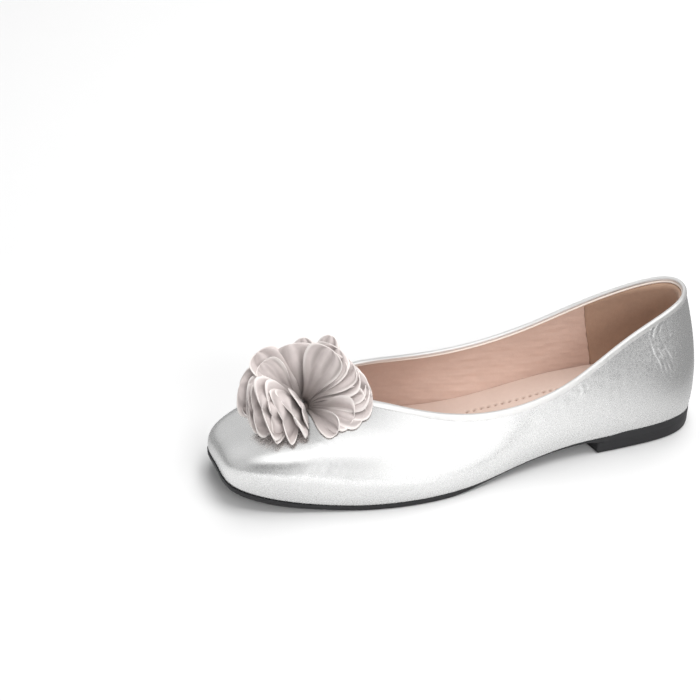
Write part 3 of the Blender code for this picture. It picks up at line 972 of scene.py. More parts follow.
@dataclass
class Upper:
    """The upper: outer leather, lining, heel grip, and the binding folded over the topline."""

    leather: float = 0.9
    leather_top: float = 2.3
    lining_top: float = 0.95
    lining_gap: float = 0.06
    bead_zone: float = 1.6
    bead_width: float = 1.0
    bead_height: float = 0.4
    grip: float = 0.5
    grip_pad: float = 1.7
    grip_end: float = 43.0
    grip_sunk: float = 0.15
    grip_rounding: float = 2.6
    binding_width: float = 3.0
    binding_step: float = 0.45
    binding_shoulder: float = 0.6
    crown: float = 0.7

    def creased(self, points: Array) -> Array:
        """Relief of the leather: troughs with low ridges beside them, crinkled zones and a slow swell.

        Args:
            points: Points of the smooth face.

        Returns:
            The height to add along the normal.
        """
        relief = 0.05 * ripple(points, 34.0, 14, 11) + 0.012 * ripple(points, 8.0, 20, 19)
        outer_side = points[..., 1] < 0.0
        for crease in CREASES:
            gap, share = path_distance(points[..., [0, 2]], np.array(crease.path))
            fade = np.sin(np.pi * np.clip(0.12 + 0.76 * share, 0.0, 1.0)) * outer_side
            trough = bell(gap, crease.width) - 0.5 * bell(gap - 1.9 * crease.width, crease.width)
            relief -= crease.depth * fade * trough
        for zone in ZONES:
            relief += zone.relief(points)
        return relief

    def make_leather(self) -> Piece:
        """The outer leather: the skin with its creases, turned in under the foot, and a plain back face.

        Returns:
            The piece.
        """
        skin = LAST.skin(760, crowding=2.0)
        fine = np.linspace(0.0, 1.0, 800)
        count = np.cumsum(1.0 + 1.2 * smooth_step(fine, 0.42, 0.52))
        share = np.interp(np.linspace(count[0], count[-1], 108), count, fine)
        top = skin.whole[:, None] - self.leather_top
        face, normal = skin.rows(top * share[None, :])
        face = face + self.creased(face)[..., None] * normal
        back, normal = skin.rows(top * np.linspace(1.0, 0.03, 10)[None, :])
        back = back - self.leather * normal
        foot = face[:, 0]
        out = plan_normals(foot)
        turned = [(3.0, 0.26), (1.4, 0.26), (0.6, 0.22), (0.2, 0.12)]
        margin = np.stack([foot - inset * out - [0.0, 0.0, drop] for inset, drop in turned], axis=1)
        grid = np.concatenate([margin, face, back], axis=1)
        return make_piece("upper_leather", Shell.tube(grid, True), SILVER, Node.UPPER)

    def make_lining(self) -> Piece:
        """The lining: an inner wall just inside the leather, with a raw bead at its top and soft wrinkles.

        The bead is half an ellipse that stands in from the wall just under the binding.

        Returns:
            The piece.
        """
        skin = LAST.skin(560)
        top = skin.whole[:, None] - self.lining_top
        back, normal = skin.rows(top * np.linspace(0.03, 1.0, 10)[None, :])
        back = back - (self.leather + self.lining_gap) * normal
        near = np.linspace(0.0, self.bead_zone, 14)[None, :]
        rest = self.bead_zone + (0.97 * top - self.bead_zone) * np.linspace(0.0, 1.0, 76)[None, 1:]
        below = np.concatenate([near + 0.0 * top, rest], axis=1)
        face, normal = skin.rows(top - below)
        wrinkle = 0.1 * ripple(face * [0.35, 0.35, 1.8], 5.0, 16, 21) + 0.05 * ripple(face, 16.0, 10, 23)
        half = 0.5 * self.bead_width
        bead = self.bead_height * np.sqrt(np.clip(1.0 - ((below - half) / half) ** 2, 0.0, 1.0))
        depth = LAST.wall + wrinkle * smooth_step(below, 1.2, 6.0) + bead
        face = face - depth[..., None] * normal
        raw = 1.0 - smooth_step(below, self.bead_width - 0.1, self.bead_width + 0.15)
        grid = np.concatenate([back, face], axis=1)
        raw_edge = np.concatenate([np.zeros(back.shape[:2]), raw], axis=1)
        shell = Shell.tube(grid, True, raw_edge=raw_edge)
        return make_piece("upper_lining", shell, LINING, Node.UPPER)

    def make_grip(self) -> Piece:
        """The heel grip: a soft pad inside the heel, from a seam on one side round the back to the other.

        Its thickness grows from the seams to the back and rounds off as an ellipse under the topline. At the
        seams it ends in a step.

        Returns:
            The piece.
        """
        skin = LAST.skin(560)
        along = skin.handles[0][:, 0]
        place = np.arange(len(along))
        half = len(along) // 2
        held = along < self.grip_end
        order = np.concatenate([place[held & (place > half)], place[held & (place < half)]])
        top = skin.whole[:, None] - self.lining_top - self.bead_width - 0.05
        below = np.concatenate([np.linspace(0.0, 3.0, 12), np.linspace(3.0, 60.0, 40)[1:]])[None, :]
        below = np.minimum(below, 0.95 * top)
        wall, normal = skin.rows(top - below)
        wall, normal, below, near = wall[order], normal[order], below[order], along[order]
        swell = self.grip + self.grip_pad * (1.0 - smooth_step(near, 4.0, 36.0))
        rounded = np.sqrt(1.0 - np.clip(1.0 - below / self.grip_rounding, 0.0, 1.0) ** 2)
        thick = swell[:, None] * rounded + 0.06 * ripple(wall, 9.0, 14, 25)
        thick[[0, -1]] = 0.0
        behind = LAST.wall - self.grip_sunk
        depth = behind + self.grip_sunk * (thick > 0.0) + np.maximum(thick, 0.0)
        face = wall - depth[..., None] * normal
        back = wall - behind * normal
        grid = np.concatenate([face, back[:, ::-1]], axis=1)
        return make_piece("heel_grip", Shell.tube(grid, False), GRIP, Node.UPPER)

    def make_binding(self) -> Piece:
        """The binding: a narrow strip folded over the topline, rounded outside and thin inside.

        Its profile swells softly up the outside, runs over the crown as half an ellipse, a little way down
        the inside, and back between the leather and the lining.

        Returns:
            The piece.
        """
        rise = np.linspace(1.0, 0.0, 14)
        shoulder = self.binding_shoulder
        outside_below = shoulder + (self.binding_width - shoulder) * rise
        outside_depth = -self.binding_step * (1.0 - rise**2.4)
        over = np.linspace(0.0, np.pi, 17)[1:]
        middle = 0.5 * (LAST.wall - 0.05 - self.binding_step)
        half = middle + self.binding_step
        crown_below = shoulder - (shoulder + self.crown) * np.sin(over)
        crown_depth = middle - half * np.cos(over)
        inside_below = np.array([0.78, 0.88, 0.88, 1.5, 2.15, 2.2])
        inside_depth = np.array([1.72, 1.6, 0.92, 0.92, 0.9, 0.02])
        below = np.concatenate([outside_below, crown_below, inside_below])
        depth = np.concatenate([outside_depth, crown_depth, inside_depth])
        skin = LAST.skin(760)
        wall, normal = skin.rows(skin.below(below))
        place = wall[:, -1]
        relief = 0.05 * ripple(place, 9.0, 12, 31) + 0.04 * ripple(place, 3.5, 12, 33)
        outer = (depth < middle).astype(float) * (np.arange(len(depth)) < len(outside_below) + len(over))
        grid = wall - (depth[None, :] - outer[None, :] * relief[:, None])[..., None] * normal
        return make_piece("topline_binding", Shell.tube(grid, True), TRIM, Node.UPPER)

    def build(self) -> list[Piece]:
        """The upper's four pieces."""
        return [self.make_leather(), self.make_lining(), self.make_grip(), self.make_binding()]


# Sole


# From the underside up: inset and rise of the outsole's edge, and what the bevel adds to each at the waist
OUTSOLE_EDGE = (
    (1.5, 0.0, 3.0, 0.0),
    (0.7, 0.0, 2.9, 0.0),
    (0.25, 0.12, 0.9, 0.9),
    (0.05, 0.4, 0.15, 1.0),
    (0.0, 0.8, 0.0, 0.95),
    (0.0, 1.9, 0.0, 0.0),
    (0.08, 2.3, 0.0, 0.0),
    (0.3, 2.52, 0.0, 0.0),
    (0.9, 2.6, 0.0, 0.0),
)
# From the floor up: inset and rise of the heel's side
HEEL_EDGE = (
    (0.8, 0.0), (0.35, 0.09), (0.12, 0.3), (0.05, 0.6),
    (0.0, 1.2), (0.0, 4.6), (0.0, 5.7), (0.0, 6.4),
)
# The same for the sock's edge, before the wedge lifts it
SOCK_EDGE = ((0.9, 0.0), (0.3, 0.1), (0.0, 0.6), (0.0, 1.5), (0.2, 2.05), (0.8, 2.3))


@dataclass
class Sole:
    """What the upper stands on: outsole, heel block, and the padded sock inside."""

    rungs: int = 260
    across: int = 24
    toe_lip: float = 0.5
    lip_start: float = 180.0
    lip_end: float = 228.0
    waist_inset: float = 1.0
    waist_middle: float = 95.0
    waist_reach: float = 45.0
    bevel: tuple[float, float, float, float] = (56.0, 64.0, 112.0, 138.0)
    rim: tuple[float, float, float, float] = (2.0, 16.0, 42.0, 56.0)
    rim_rise: float = 1.4
    rim_out: float = 0.45
    heel_length: float = 57.2
    heel_bulge: float = 4.6
    heel_top_inset: float = 0.1
    heel_foot_inset: float = 0.5
    heel_corner: float = 1.0
    heel_clearance: float = 0.03
    breast_middle: float = 3.0
    sock_rungs: int = 420
    sock_across: int = 96
    sock_thickness: float = 2.6
    sock_wedge: float = 6.2
    wedge_start: float = 55.0
    wedge_end: float = 180.0
    sock_gap: float = 0.3
    holes: tuple[float, float, int] = (66.0, 111.0, 14)
    holes_across: float = 7.4
    holes_bow: float = 0.13
    holes_bend: float = 85.0
    hole_depth: float = 0.9

    def edge(self, along: Array) -> Array:
        """How far the outsole stands out past the upper: a lip round the toe, drawn in at the waist."""
        waist = np.clip(1.0 - ((along - self.waist_middle) / self.waist_reach) ** 2, 0.0, 1.0) ** 2
        return self.toe_lip * smooth_step(along, self.lip_start, self.lip_end) - self.waist_inset * waist

    def bevelled(self, along: Array) -> Array:
        """Share of the full bevel under the outsole's edge, which is full at the waist."""
        return plateau(along, self.bevel)

    def rimmed(self, along: Array) -> Array:
        """Share of the full rim that laps up the upper on both sides of the heel seat."""
        return plateau(along, self.rim)

    def wedge(self, along: Array) -> Array:
        """Extra thickness of the sock, which falls from the heel to nothing under the ball."""
        return self.sock_wedge * (1.0 - smooth_step(along, self.wedge_start, self.wedge_end))

    @staticmethod
    def plate(levels: list[tuple[Array, Array, Array, Array]], across: int) -> Array:
        """A plate as profiles carried from heel to toe: across the bottom, up one edge, over the top, down.

        Args:
            levels: From the underside up, plan points of both sides and the heights at both sides.
            across: Number of steps across the bottom and the top.

        Returns:
            Rungs by places round the profile.
        """
        t = np.linspace(0.0, 1.0, across + 1)[None, :, None]
        walls = [(np.column_stack([a, ha]), np.column_stack([b, hb])) for a, b, ha, hb in levels]
        bottom = walls[0][0][:, None] * (1.0 - t) + walls[0][1][:, None] * t
        top = walls[-1][1][:, None] * (1.0 - t) + walls[-1][0][:, None] * t
        up = [b[:, None] for a, b in walls[1:-1]]
        down = [a[:, None] for a, b in reversed(walls[1:-1])]
        return np.concatenate([bottom, *up, top, *down], axis=1)

    def make_outsole(self) -> Piece:
        """The outsole: a thin plate with rounded edges, a lip round the toe and a bevel under the waist.

        Returns:
            The piece.
        """
        levels = []
        for inset, rise, waist_inset, waist_rise in OUTSOLE_EDGE:
            level: list[Array] = []
            for side, out in LAST.sides(self.rungs):
                share = self.bevelled(side[:, :1])
                rim = self.rimmed(side[:, :1])
                square = 1.0 - smooth_step(side[:, :1], self.heel_length - 6.0, self.heel_length)
                rounding = inset * (1.0 - square * (rise < 1.0))
                stand = self.edge(side[:, :1]) + self.rim_out * rim - rounding - waist_inset * share
                place = side + stand * out
                low = LAST.sole_base(place[:, 0])
                lip = self.rim_rise * min(max((rise - 0.8) / 1.5, 0.0), 1.0)
                level += [place, low + rise + waist_rise * share[:, 0] + lip * rim[:, 0]]
            levels.append((level[0], level[2], level[1], level[3]))
        grid = self.plate(levels, self.across)
        base = LAST.sole_base(grid[..., 0])
        count = self.across + 1
        grid[:, :count, 2] = base[:, :count]
        first = count + len(OUTSOLE_EDGE) - 2
        face = slice(first, first + count)
        grid[:, face, 2] = base[:, face] + LAST.sole_thickness
        return make_piece("outsole_sheet", Shell.tube(grid, False), RUBBER, Node.OUTSOLE, 40.0)

    def make_heel(self) -> Piece:
        """The heel: a low block, a D in plan whose breast bows towards the toe, with rounded edges.

        The last rung of the block is moved towards the toe by the bulge times 1 less the square of the share
        across, and a ring at half height closes the breast.

        Returns:
            The piece.
        """
        turn = np.radians(np.linspace(0.0, 90.0, 9))
        corner_along = self.heel_length - self.heel_corner * (1.0 - np.sin(turn))
        corner_inset = self.heel_corner * (1.0 - np.cos(turn))
        sides = LAST.sides(self.rungs)
        shared = min(int((side[:, 0] < corner_along[0] - 0.5).sum()) for side, out in sides)
        levels = []
        for inset, rise in HEEL_EDGE:
            level: list[Array] = []
            for side, out in sides:
                up = min(rise / 5.7, 1.0)
                lean = self.heel_foot_inset + (self.heel_top_inset - self.heel_foot_inset) * up
                rim = side - (lean + inset) * out
                across = np.interp(corner_along, rim[:, 0], rim[:, 1])
                corner = np.column_stack([corner_along, across - np.sign(across) * corner_inset])
                corner[:, 0] -= inset * smooth_step(np.arange(9.0), 0.0, 8.0)
                place = np.vstack([rim[:shared], corner])
                most = LAST.sole_base(place[:, 0]) - self.heel_clearance
                level += [place, np.minimum(np.full(len(place), rise), most)]
            levels.append((level[0], level[2], level[1], level[3]))
        grid = self.plate(levels, self.across)
        last = grid[-1]
        reach = np.abs(last[:, 1]).max()
        last[:, 0] += self.heel_bulge * (1.0 - np.clip(np.abs(last[:, 1]) / reach, 0.0, 1.0) ** 2)
        last[:, 2] = np.minimum(last[:, 2], LAST.sole_base(last[:, 0]) - self.heel_clearance)
        middle = grid[-1:].copy()
        middle[..., 2] = self.breast_middle
        closed = np.concatenate([grid, middle], axis=0)
        return make_piece("heel_block", Shell.tube(closed, False), RUBBER, Node.HEEL, 40.0)

    def make_sock(self) -> Piece:
        """The padded sock: a wedge crowned towards the middle, with a row of perforations at the waist.

        Its edge is the upper's skin at the same height, moved in by the wall and a small gap.

        Returns:
            The piece.
        """
        rungs, across = self.sock_rungs, self.sock_across
        skin = LAST.skin(2 * rungs)
        wedge = self.wedge(skin.handles[0][:, :1])
        inner = LAST.inner_order(rungs)
        levels = []
        for extra, rise in SOCK_EDGE:
            height = rise + wedge * min(rise / 1.5, 1.0)
            wall, normal = skin.rows(height)
            place = (wall - (LAST.wall + self.sock_gap + extra) * normal)[:, 0, :2]
            top = LAST.sole_top(place[:, 0]) + LAST.gap + height[:, 0]
            levels.append((place[: rungs + 1], place[inner], top[: rungs + 1], top[inner]))
        grid = self.plate(levels, across)
        base = LAST.sole_top(grid[..., 0]) + LAST.gap
        grid[:, : across + 1, 2] = base[:, : across + 1]
        first = across + 1 + len(levels) - 2
        face = slice(first, first + across + 1)
        t = np.linspace(-1.0, 1.0, across + 1)[None, :]
        flat = 1.0 - t**6
        shoulder = SOCK_EDGE[-1][1]
        crown = (self.sock_thickness - shoulder) * flat
        top = grid[:, face]
        dents = np.zeros(top.shape[:2])
        punched = np.zeros(grid.shape[:2])
        start, end, count = self.holes
        for place in np.linspace(start, end, count):
            bow = self.holes_across + self.holes_bow * max(place - self.holes_bend, 0.0)
            gap = np.hypot(top[..., 0] - place, top[..., 1] - bow)
            dents += self.hole_depth * bell(gap, 0.7) - 0.15 * bell(gap - 1.5, 0.5)
            # Painted shade of the perforations: the dark colour goes in each dent.
            punched[:, face] = np.maximum(punched[:, face], bell(gap, 0.65))
        swell = 0.05 * ripple(top * [1.0, 1.0, 0.0], 22.0, 10, 41)
        thick = shoulder + self.wedge(top[..., 0])
        grid[:, face, 2] = base[:, face] + thick + crown - dents + swell * flat
        sock = make_piece("sock_pad", Shell.tube(grid, False, punched=punched), SOCK, Node.INSOLE)
        return sock

    def build(self) -> list[Piece]:
        """The sole's three pieces."""
        return [self.make_outsole(), self.make_heel(), self.make_sock()]


# Flower


class Petal(NamedTuple):
    """One petal. Turn is the way it points: 0 to the heel, 90 to the inner side, 180 to the toe.

    Swirl is the change of turn to the tip, lift the slope at the root and curl its change to the tip. Roll
    turns the petal about its own length, cup bends it across, ruffle waves its outer edge. Base is the
    height of its root above the flower's middle, and out its distance from the flower's axis.
    """

    turn: float
    swirl: float
    lift: float
    curl: float
    length: float
    width: float
    roll: float
    cup: float
    ruffle: float
    base: float
    out: float


OUTER_PETALS = (
    Petal(294, 6, -4, -8, 21, 15, 56, 26, 0.6, 0.4, 2.0),
    Petal(322, 0, -4, -8, 23, 19, 44, 28, 0.9, 0.6, 2.0),
    Petal(335, 0, -2, -8, 27, 22, 38, 30, 1.0, 1.0, 2.0),
    Petal(344, 0, 0, -8, 30, 23, 34, 30, 1.0, 1.6, 2.0),
    Petal(204, 0, 0, -6, 15, 22, 0, 40, 0.4, -0.6, 2.0),
    Petal(166, 0, 18, -6, 28, 22, 0, 30, 1.0, 0.6, 2.0),
    Petal(120, 0, 42, -4, 32, 22, 0, 45, 0.8, 2.0, 2.0),
    Petal(70, 0, 37, -4, 33, 13, 0, -20, 0.2, -0.6, 2.0),
    Petal(40, 0, 37, -4, 35, 13, 0, -20, 0.2, -0.6, 2.0),
    Petal(24, 0, 31, -6, 29, 22, 16, 20, 1.0, 2.6, 2.0),
)
INNER_PETALS = (
    Petal(351, -4, 4, -8, 30, 21, 36, 30, 1.0, 2.2, 1.5),
    Petal(356, -4, 12, -12, 29, 20, 38, 30, 1.0, 3.0, 1.5),
    Petal(0, -4, 20, -14, 28, 19, 40, 28, 1.1, 3.6, 1.5),
    Petal(6, -4, 28, -12, 28, 19, 36, 24, 1.1, 4.2, 1.5),
    Petal(12, 0, 34, -10, 27, 15, 30, 20, 0.6, 3.4, 1.5),
    Petal(19, 0, 45, -6, 27, 22, 22, 16, 0.5, 5.0, 1.5),
    Petal(82, 0, 46, -2, 26, 26, 0, -45, 0.4, 3.0, 4.0),
    Petal(128, 0, 42, -4, 24, 16, -10, 45, 1.0, 3.0, 5.0),
    Petal(156, 0, 36, -10, 29, 29, -24, -45, 0.6, 3.0, 3.0),
    Petal(178, 0, 34, -8, 28, 27, -46, -28, 0.8, 1.5, 1.0),
    Petal(187, 0, 36, -8, 28, 27, -52, -28, 0.8, 1.5, 1.0),
    Petal(197, 0, 38, -8, 28, 27, -56, -28, 0.9, 1.5, 1.0),
    Petal(210, 0, 42, -12, 28, 32, -62, -24, 1.3, 2.0, 1.0),
    Petal(221, 0, 42, -14, 25, 32, -65, -22, 1.4, 1.8, 1.0),
    Petal(233, 0, 42, -16, 22, 31, -67, -20, 1.3, 1.8, 1.0),
    Petal(246, 0, 44, -16, 18.5, 28, -70, -18, 1.2, 2.0, 1.0),
    Petal(260, 0, 46, -16, 14.5, 22, -73, -16, 1.0, 2.2, 1.0),
)


@dataclass
class Flower:
    """The fabric flower: a core painted dark for the shade deep in its middle, with two rings of cut petals
    gathered round it, resting on the vamp.
    """

    along: float = 195.0
    across: float = -5.0
    height: float = 38.0
    toe_lean: float = 14.0
    outer_lean: float = 8.0
    core_radius: float = 2.4
    core_height: float = 3.0
    thickness: float = 0.5
    waist: float = 0.22
    widest: float = 0.76
    twist: float = 5.0
    stray: float = 1.0
    bend: float = 4.0
    pleat: float = 1.1
    cut_share: float = 0.75
    seed: int = 60
    steps: int = 34
    places: int = 33

    def __post_init__(self) -> None:
        """Work out the flower's own directions, and the vamp's face that it rests on."""
        toe, outer = math.radians(self.toe_lean), math.radians(self.outer_lean)
        self.middle = np.array([self.along, self.across, self.height])
        self.axis = unit(np.array([math.sin(toe), -math.sin(outer), math.cos(toe) * math.cos(outer)]))
        heelward = np.array([-1.0, 0.0, 0.0])
        self.heelward = unit(heelward - self.axis * heelward.dot(self.axis))
        inward = np.array([0.0, 1.0, 0.0])
        inward = inward - self.axis * inward.dot(self.axis)
        self.inward = unit(inward - self.heelward * inward.dot(self.heelward))
        skin = LAST.skin(360)
        points, normals = skin.rows(skin.whole[:, None] * np.linspace(0.1, 1.0, 60)[None, :])
        near = np.linalg.norm(points - self.middle, axis=-1) < 60.0
        self.vamp, self.vamp_normals = points[near], normals[near]

    def rest(self, points: Array, clearance: float) -> Array:
        """Points lifted off the vamp: those nearer than the clearance move out along the vamp's normal.

        Args:
            points: A grid of points.
            clearance: Least distance from the vamp.

        Returns:
            The grid with its low points lifted.
        """
        flat = points.reshape(-1, 3)
        gaps = np.sum(self.vamp**2, axis=1)[None, :] - 2.0 * flat @ self.vamp.T
        nearest = np.argmin(gaps, axis=1)
        away = flat - self.vamp[nearest]
        normal = self.vamp_normals[nearest]
        short = clearance - np.sum(away * normal, axis=1)
        close = np.linalg.norm(away, axis=1) < 22.0
        push = np.where(close, np.maximum(short, 0.0), 0.0)
        return (flat + push[:, None] * normal).reshape(points.shape)

    def sheet(self, petal: Petal, number: int) -> tuple[Array, Array, Array, Array]:
        """Middle surface of one petal.

        A spine leaves the root at the lift and bends by the curl. Across it runs an arc whose half angle is
        the cup. The half width swells from the waist to the widest place and closes as an ellipse at the
        tip, and two sine waves along the edge give the ruffle. Pleats run lengthwise, deepest past the
        middle. Seeded drifts turn, twist and bow each petal a little, so that no two lie alike.

        Args:
            petal: The petal.
            number: Its number, which sets its wave and its layer above the vamp.

        Returns:
            The grid, the half width at each step, the places across from -1 to 1, and the pleats' valleys,
            where painted shade goes.
        """
        drift = np.random.default_rng(self.seed + number).normal(size=6)
        cup = math.radians(petal.cup)
        s = 1.0 - (1.0 - np.linspace(0.0, 1.0, self.steps)) ** 1.8
        roll = np.radians(petal.roll + self.twist * drift[0] * s)[:, None]
        turn = np.radians(petal.turn + petal.swirl * s + self.stray * drift[1])[:, None]
        radial = self.heelward * np.cos(turn) + self.inward * np.sin(turn)
        sideways = self.inward * np.cos(turn) - self.heelward * np.sin(turn)
        bend = self.bend * drift[2] * np.sin(np.pi * s)
        slope = np.radians(petal.lift + petal.curl * s + bend)
        tangent = np.cos(slope)[:, None] * radial + np.sin(slope)[:, None] * self.axis
        legs = 0.5 * (tangent[1:] + tangent[:-1]) * (np.diff(s) * petal.length)[:, None]
        root = self.middle + petal.out * radial[0] + petal.base * self.axis
        spine = root + np.vstack([np.zeros(3), np.cumsum(legs, axis=0)])
        rise = np.cross(tangent, sideways)
        rise = rise * np.sign(np.sum(rise * self.axis, axis=1, keepdims=True) + 1e-9)
        side = np.cos(roll) * sideways + np.sin(roll) * rise
        face = np.cos(roll) * rise - np.sin(roll) * sideways
        swell = self.waist + (1.0 - self.waist) * smooth_step(s, 0.0, self.widest)
        close = np.clip((s - self.widest) / (1.0 - self.widest), 0.0, 1.0)
        half = 0.5 * petal.width * swell * np.sqrt(1.0 - close**3.0)
        t = np.linspace(-1.0, 1.0, self.places)
        t = np.sin(0.5 * np.pi * t) * 0.35 + 0.65 * t
        over = half[:, None] * np.sin(cup * t)[None, :] / cup
        lift = half[:, None] * (1.0 - np.cos(cup * t))[None, :] / cup
        wave = np.sin(1.5 * np.pi * t + 3.0 * drift[3]) + 0.6 * np.sin(3.3 * np.pi * t + 3.0 * drift[4])
        lift = lift + petal.ruffle * (s**2 * half / half.max())[:, None] * wave[None, :]
        pleats = np.sin(3.0 * np.pi * t + 3.0 * drift[5])[None, :]
        deep = (s * (1.35 - s) * half / half.max())[:, None]
        lift = lift + self.pleat * deep * pleats
        # Where the painted shade of the pleats' valleys falls.
        fold_shade = 2.0 * deep * np.clip(-pleats, 0.0, 1.0)
        grid = spine[:, None] + over[..., None] * side[:, None] + lift[..., None] * face[:, None]
        return self.rest(grid, 0.8 + 0.08 * number), half, t, fold_shade

    def petal(self, petal: Petal, number: int) -> tuple[Shell, float]:
        """One petal as a thin closed sheet: the middle surface moved half the thickness each way.

        Args:
            petal: The petal.
            number: Its number.

        Returns:
            The surface, and the petal's flat area in square millimetres.
        """
        grid, half, t, fold_shade = self.sheet(petal, number)
        along, across = np.gradient(grid, axis=0), np.gradient(grid, axis=1)
        cross = np.cross(along, across)
        area = float(np.linalg.norm(cross[1:-1, 1:-1], axis=2).sum())
        normal = unit(cross)
        step = np.linalg.norm(np.diff(grid, axis=0), axis=2).mean(axis=1)
        run = np.concatenate([[0.0], np.cumsum(step)])
        level = np.zeros((1, len(t)))
        to_side = half[:, None] * (1.0 - np.abs(t))[None, :]
        inside = np.minimum(to_side, (run[-1] - run)[:, None] + level)
        plump = 0.5 * self.thickness * np.sqrt(np.clip(inside / 0.5, 0.12, 1.0))
        # Where the painted edge highlight falls: near the edges and the tip.
        rim = 1.0 - smooth_step(inside, 0.3, 2.2)
        puff = plump[..., None] * normal
        loop = np.concatenate([grid + puff, (grid - puff)[:, ::-1]], axis=1)
        ends = [np.broadcast_to(loop[k].mean(axis=0), (1, *loop.shape[1:])) for k in (0, -1)]
        loop = np.concatenate([ends[0], loop, ends[1]], axis=0)

        def ring(values: Array) -> Array:
            """The same value on both faces, repeated on the closing points."""
            both = np.concatenate([values, values[:, ::-1]], axis=1)
            return np.concatenate([both[:1], both, both[-1:]], axis=0)

        values = (run[:, None] + level, half[:, None] * t[None, :], rim, fold_shade)
        named = {name: ring(value) for name, value in zip(PETAL_VALUES, values)}
        return Shell.tube(loop, False, **named), area

    def make_ring(self, name: str, petals: tuple[Petal, ...], first: int) -> Piece:
        """One ring of petals, in the cloth finish, gathered at the core.

        Args:
            name: Name of the piece.
            petals: Its petals.
            first: Number of the first petal.

        Returns:
            The piece.
        """
        made = [self.petal(petal, first + k) for k, petal in enumerate(petals)]
        shells = Shell.together([shell for shell, area in made])
        ring = make_piece(name, shells, CLOTH, Node.FLOWER)
        return ring

    def make_core(self) -> Piece:
        """The core: a flattened ball with gathered pleats, sunk between the petals' roots.

        Returns:
            The piece.
        """
        turn = np.linspace(0.0, 2.0 * np.pi, 48, endpoint=False)[None, :]
        lean = np.linspace(-0.5 * np.pi, 0.5 * np.pi, 25)[:, None]
        pleat = 1.0 + 0.06 * np.cos(9.0 * turn) * np.cos(lean)
        radius = (self.core_radius * np.cos(lean) * pleat)[..., None]
        round_way = np.cos(turn)[..., None] * self.heelward + np.sin(turn)[..., None] * self.inward
        grid = self.middle + radius * round_way + (self.core_height * np.sin(lean))[..., None] * self.axis
        grid = self.rest(grid, 0.5)
        # At 0 for every petal value the core takes the painted root shade colour all over.
        zero = np.zeros(grid.shape[:2])
        shell = Shell.tube(grid, False, **{name: zero for name in PETAL_VALUES})
        return make_piece("flower_core", shell, SHADED_CORE, Node.FLOWER)

    def build(self) -> list[Piece]:
        """The flower's pieces.

        Returns:
            The core and the two rings of petals.
        """
        outer = self.make_ring("flower_outer_petals", OUTER_PETALS, 0)
        inner = self.make_ring("flower_inner_petals", INNER_PETALS, len(OUTER_PETALS))
        return [self.make_core(), outer, inner]


# Studio


class Lamp(NamedTuple):
    """One soft light: its name, place and aim in metres, size, and power."""

    name: str
    place: tuple[float, float, float]
    aim: tuple[float, float, float]
    size: tuple[float, float]
    power: float


LAMPS = (
    Lamp("key", (0.5, -0.35, 1.4), (0.0, 0.0, 0.0), (0.8, 0.8), 11.0),
    Lamp("front", (0.15, -1.3, 0.75), (0.0, 0.0, 0.02), (0.6, 0.4), 6.5),
    Lamp("toe_side", (-0.9, -0.9, 0.8), (0.0, 0.0, 0.02), (0.6, 0.4), 3.0),
    Lamp("back", (0.35, 0.65, 1.3), (0.0, 0.0, 0.0), (1.0, 1.0), 13.0),
)


class Panel(NamedTuple):
    """One soft part of the room, brighter than the rest or, with light below 0, darker.

    Azimuth and elevation are the way to it. Full and gone are the angles from there at which it is so.
    """

    azimuth: float
    elevation: float
    full: float
    gone: float
    light: float


PANELS = (
    Panel(-66.0, 32.0, 25.0, 62.0, 0.56),
    Panel(-66.0, 8.0, 14.0, 38.0, 0.44),
    Panel(-76.0, 65.0, 12.0, 38.0, 0.46),
    Panel(-132.0, 60.0, 10.0, 26.0, 0.52),
    Panel(180.0, 40.0, 20.0, 55.0, 0.26),
    Panel(100.0, 30.0, 20.0, 60.0, 0.3),
    Panel(0.0, 20.0, 20.0, 60.0, 0.05),
    Panel(-128.0, 33.0, 5.0, 20.0, -0.34),
    Panel(-106.0, 38.0, 5.0, 20.0, -0.32),
)


@dataclass(frozen=True)
class FloorFinish(Finish):
    """A pale matt table, even to the eye. For mirrors it carries painted light and shade: brighter than
    white on the near side, darker behind and darkest past the heel.
    """

    dim_start: float = 0.07
    dim_end: float = 0.18
    front_start: float = -0.08
    front_end: float = -0.3
    rear_start: float = 0.01
    rear_end: float = 0.066
    # Painted reflection: the floor's colours as mirrors see them, brighter than white on the near side,
    # darker behind and darkest past the heel.
    front: Colour = (1.25, 1.25, 1.25)
    mirrored: Colour = (0.72, 0.72, 0.72)
    rear: Colour = (0.3, 0.3, 0.3)
    dimmest: Colour = (0.24, 0.24, 0.24)

    def dress(self, graph: Graph, shader: bpy.types.Node, place: Any) -> None:
        """Even colour to the eye, and for mirrored rays a painted grade of light and shade across the floor.

        Args:
            graph: The material's graph.
            shader: Its shader.
            place: Coordinates on the piece.
        """
        parts = graph.add("ShaderNodeSeparateXYZ", {0: place})
        share = graph.spread(parts.outputs["X"], self.dim_start, self.dim_end, 0.0, 1.0)
        near = graph.spread(parts.outputs["Y"], self.front_end, self.front_start, 0.0, 1.0)
        far = graph.spread(parts.outputs["Y"], self.rear_start, self.rear_end, 0.0, 1.0)
        # Painted light and shade for mirrors: brighter towards the near side, darker behind and towards the
        # heel's end.
        table = graph.blend(near, rgba(self.front), rgba(self.mirrored))
        table = graph.blend(far, table, rgba(self.rear))
        painted_reflection = graph.blend(share, table, rgba(self.dimmest))
        glossy = graph.add("ShaderNodeLightPath").outputs["Is Glossy Ray"]
        colour = graph.blend(glossy, self.tone(graph, place), painted_reflection)
        self.link(graph, shader, Base_Color=colour)
        shader.inputs["Roughness"].default_value = self.rough
        shader.inputs["Specular IOR Level"].default_value = 0.1


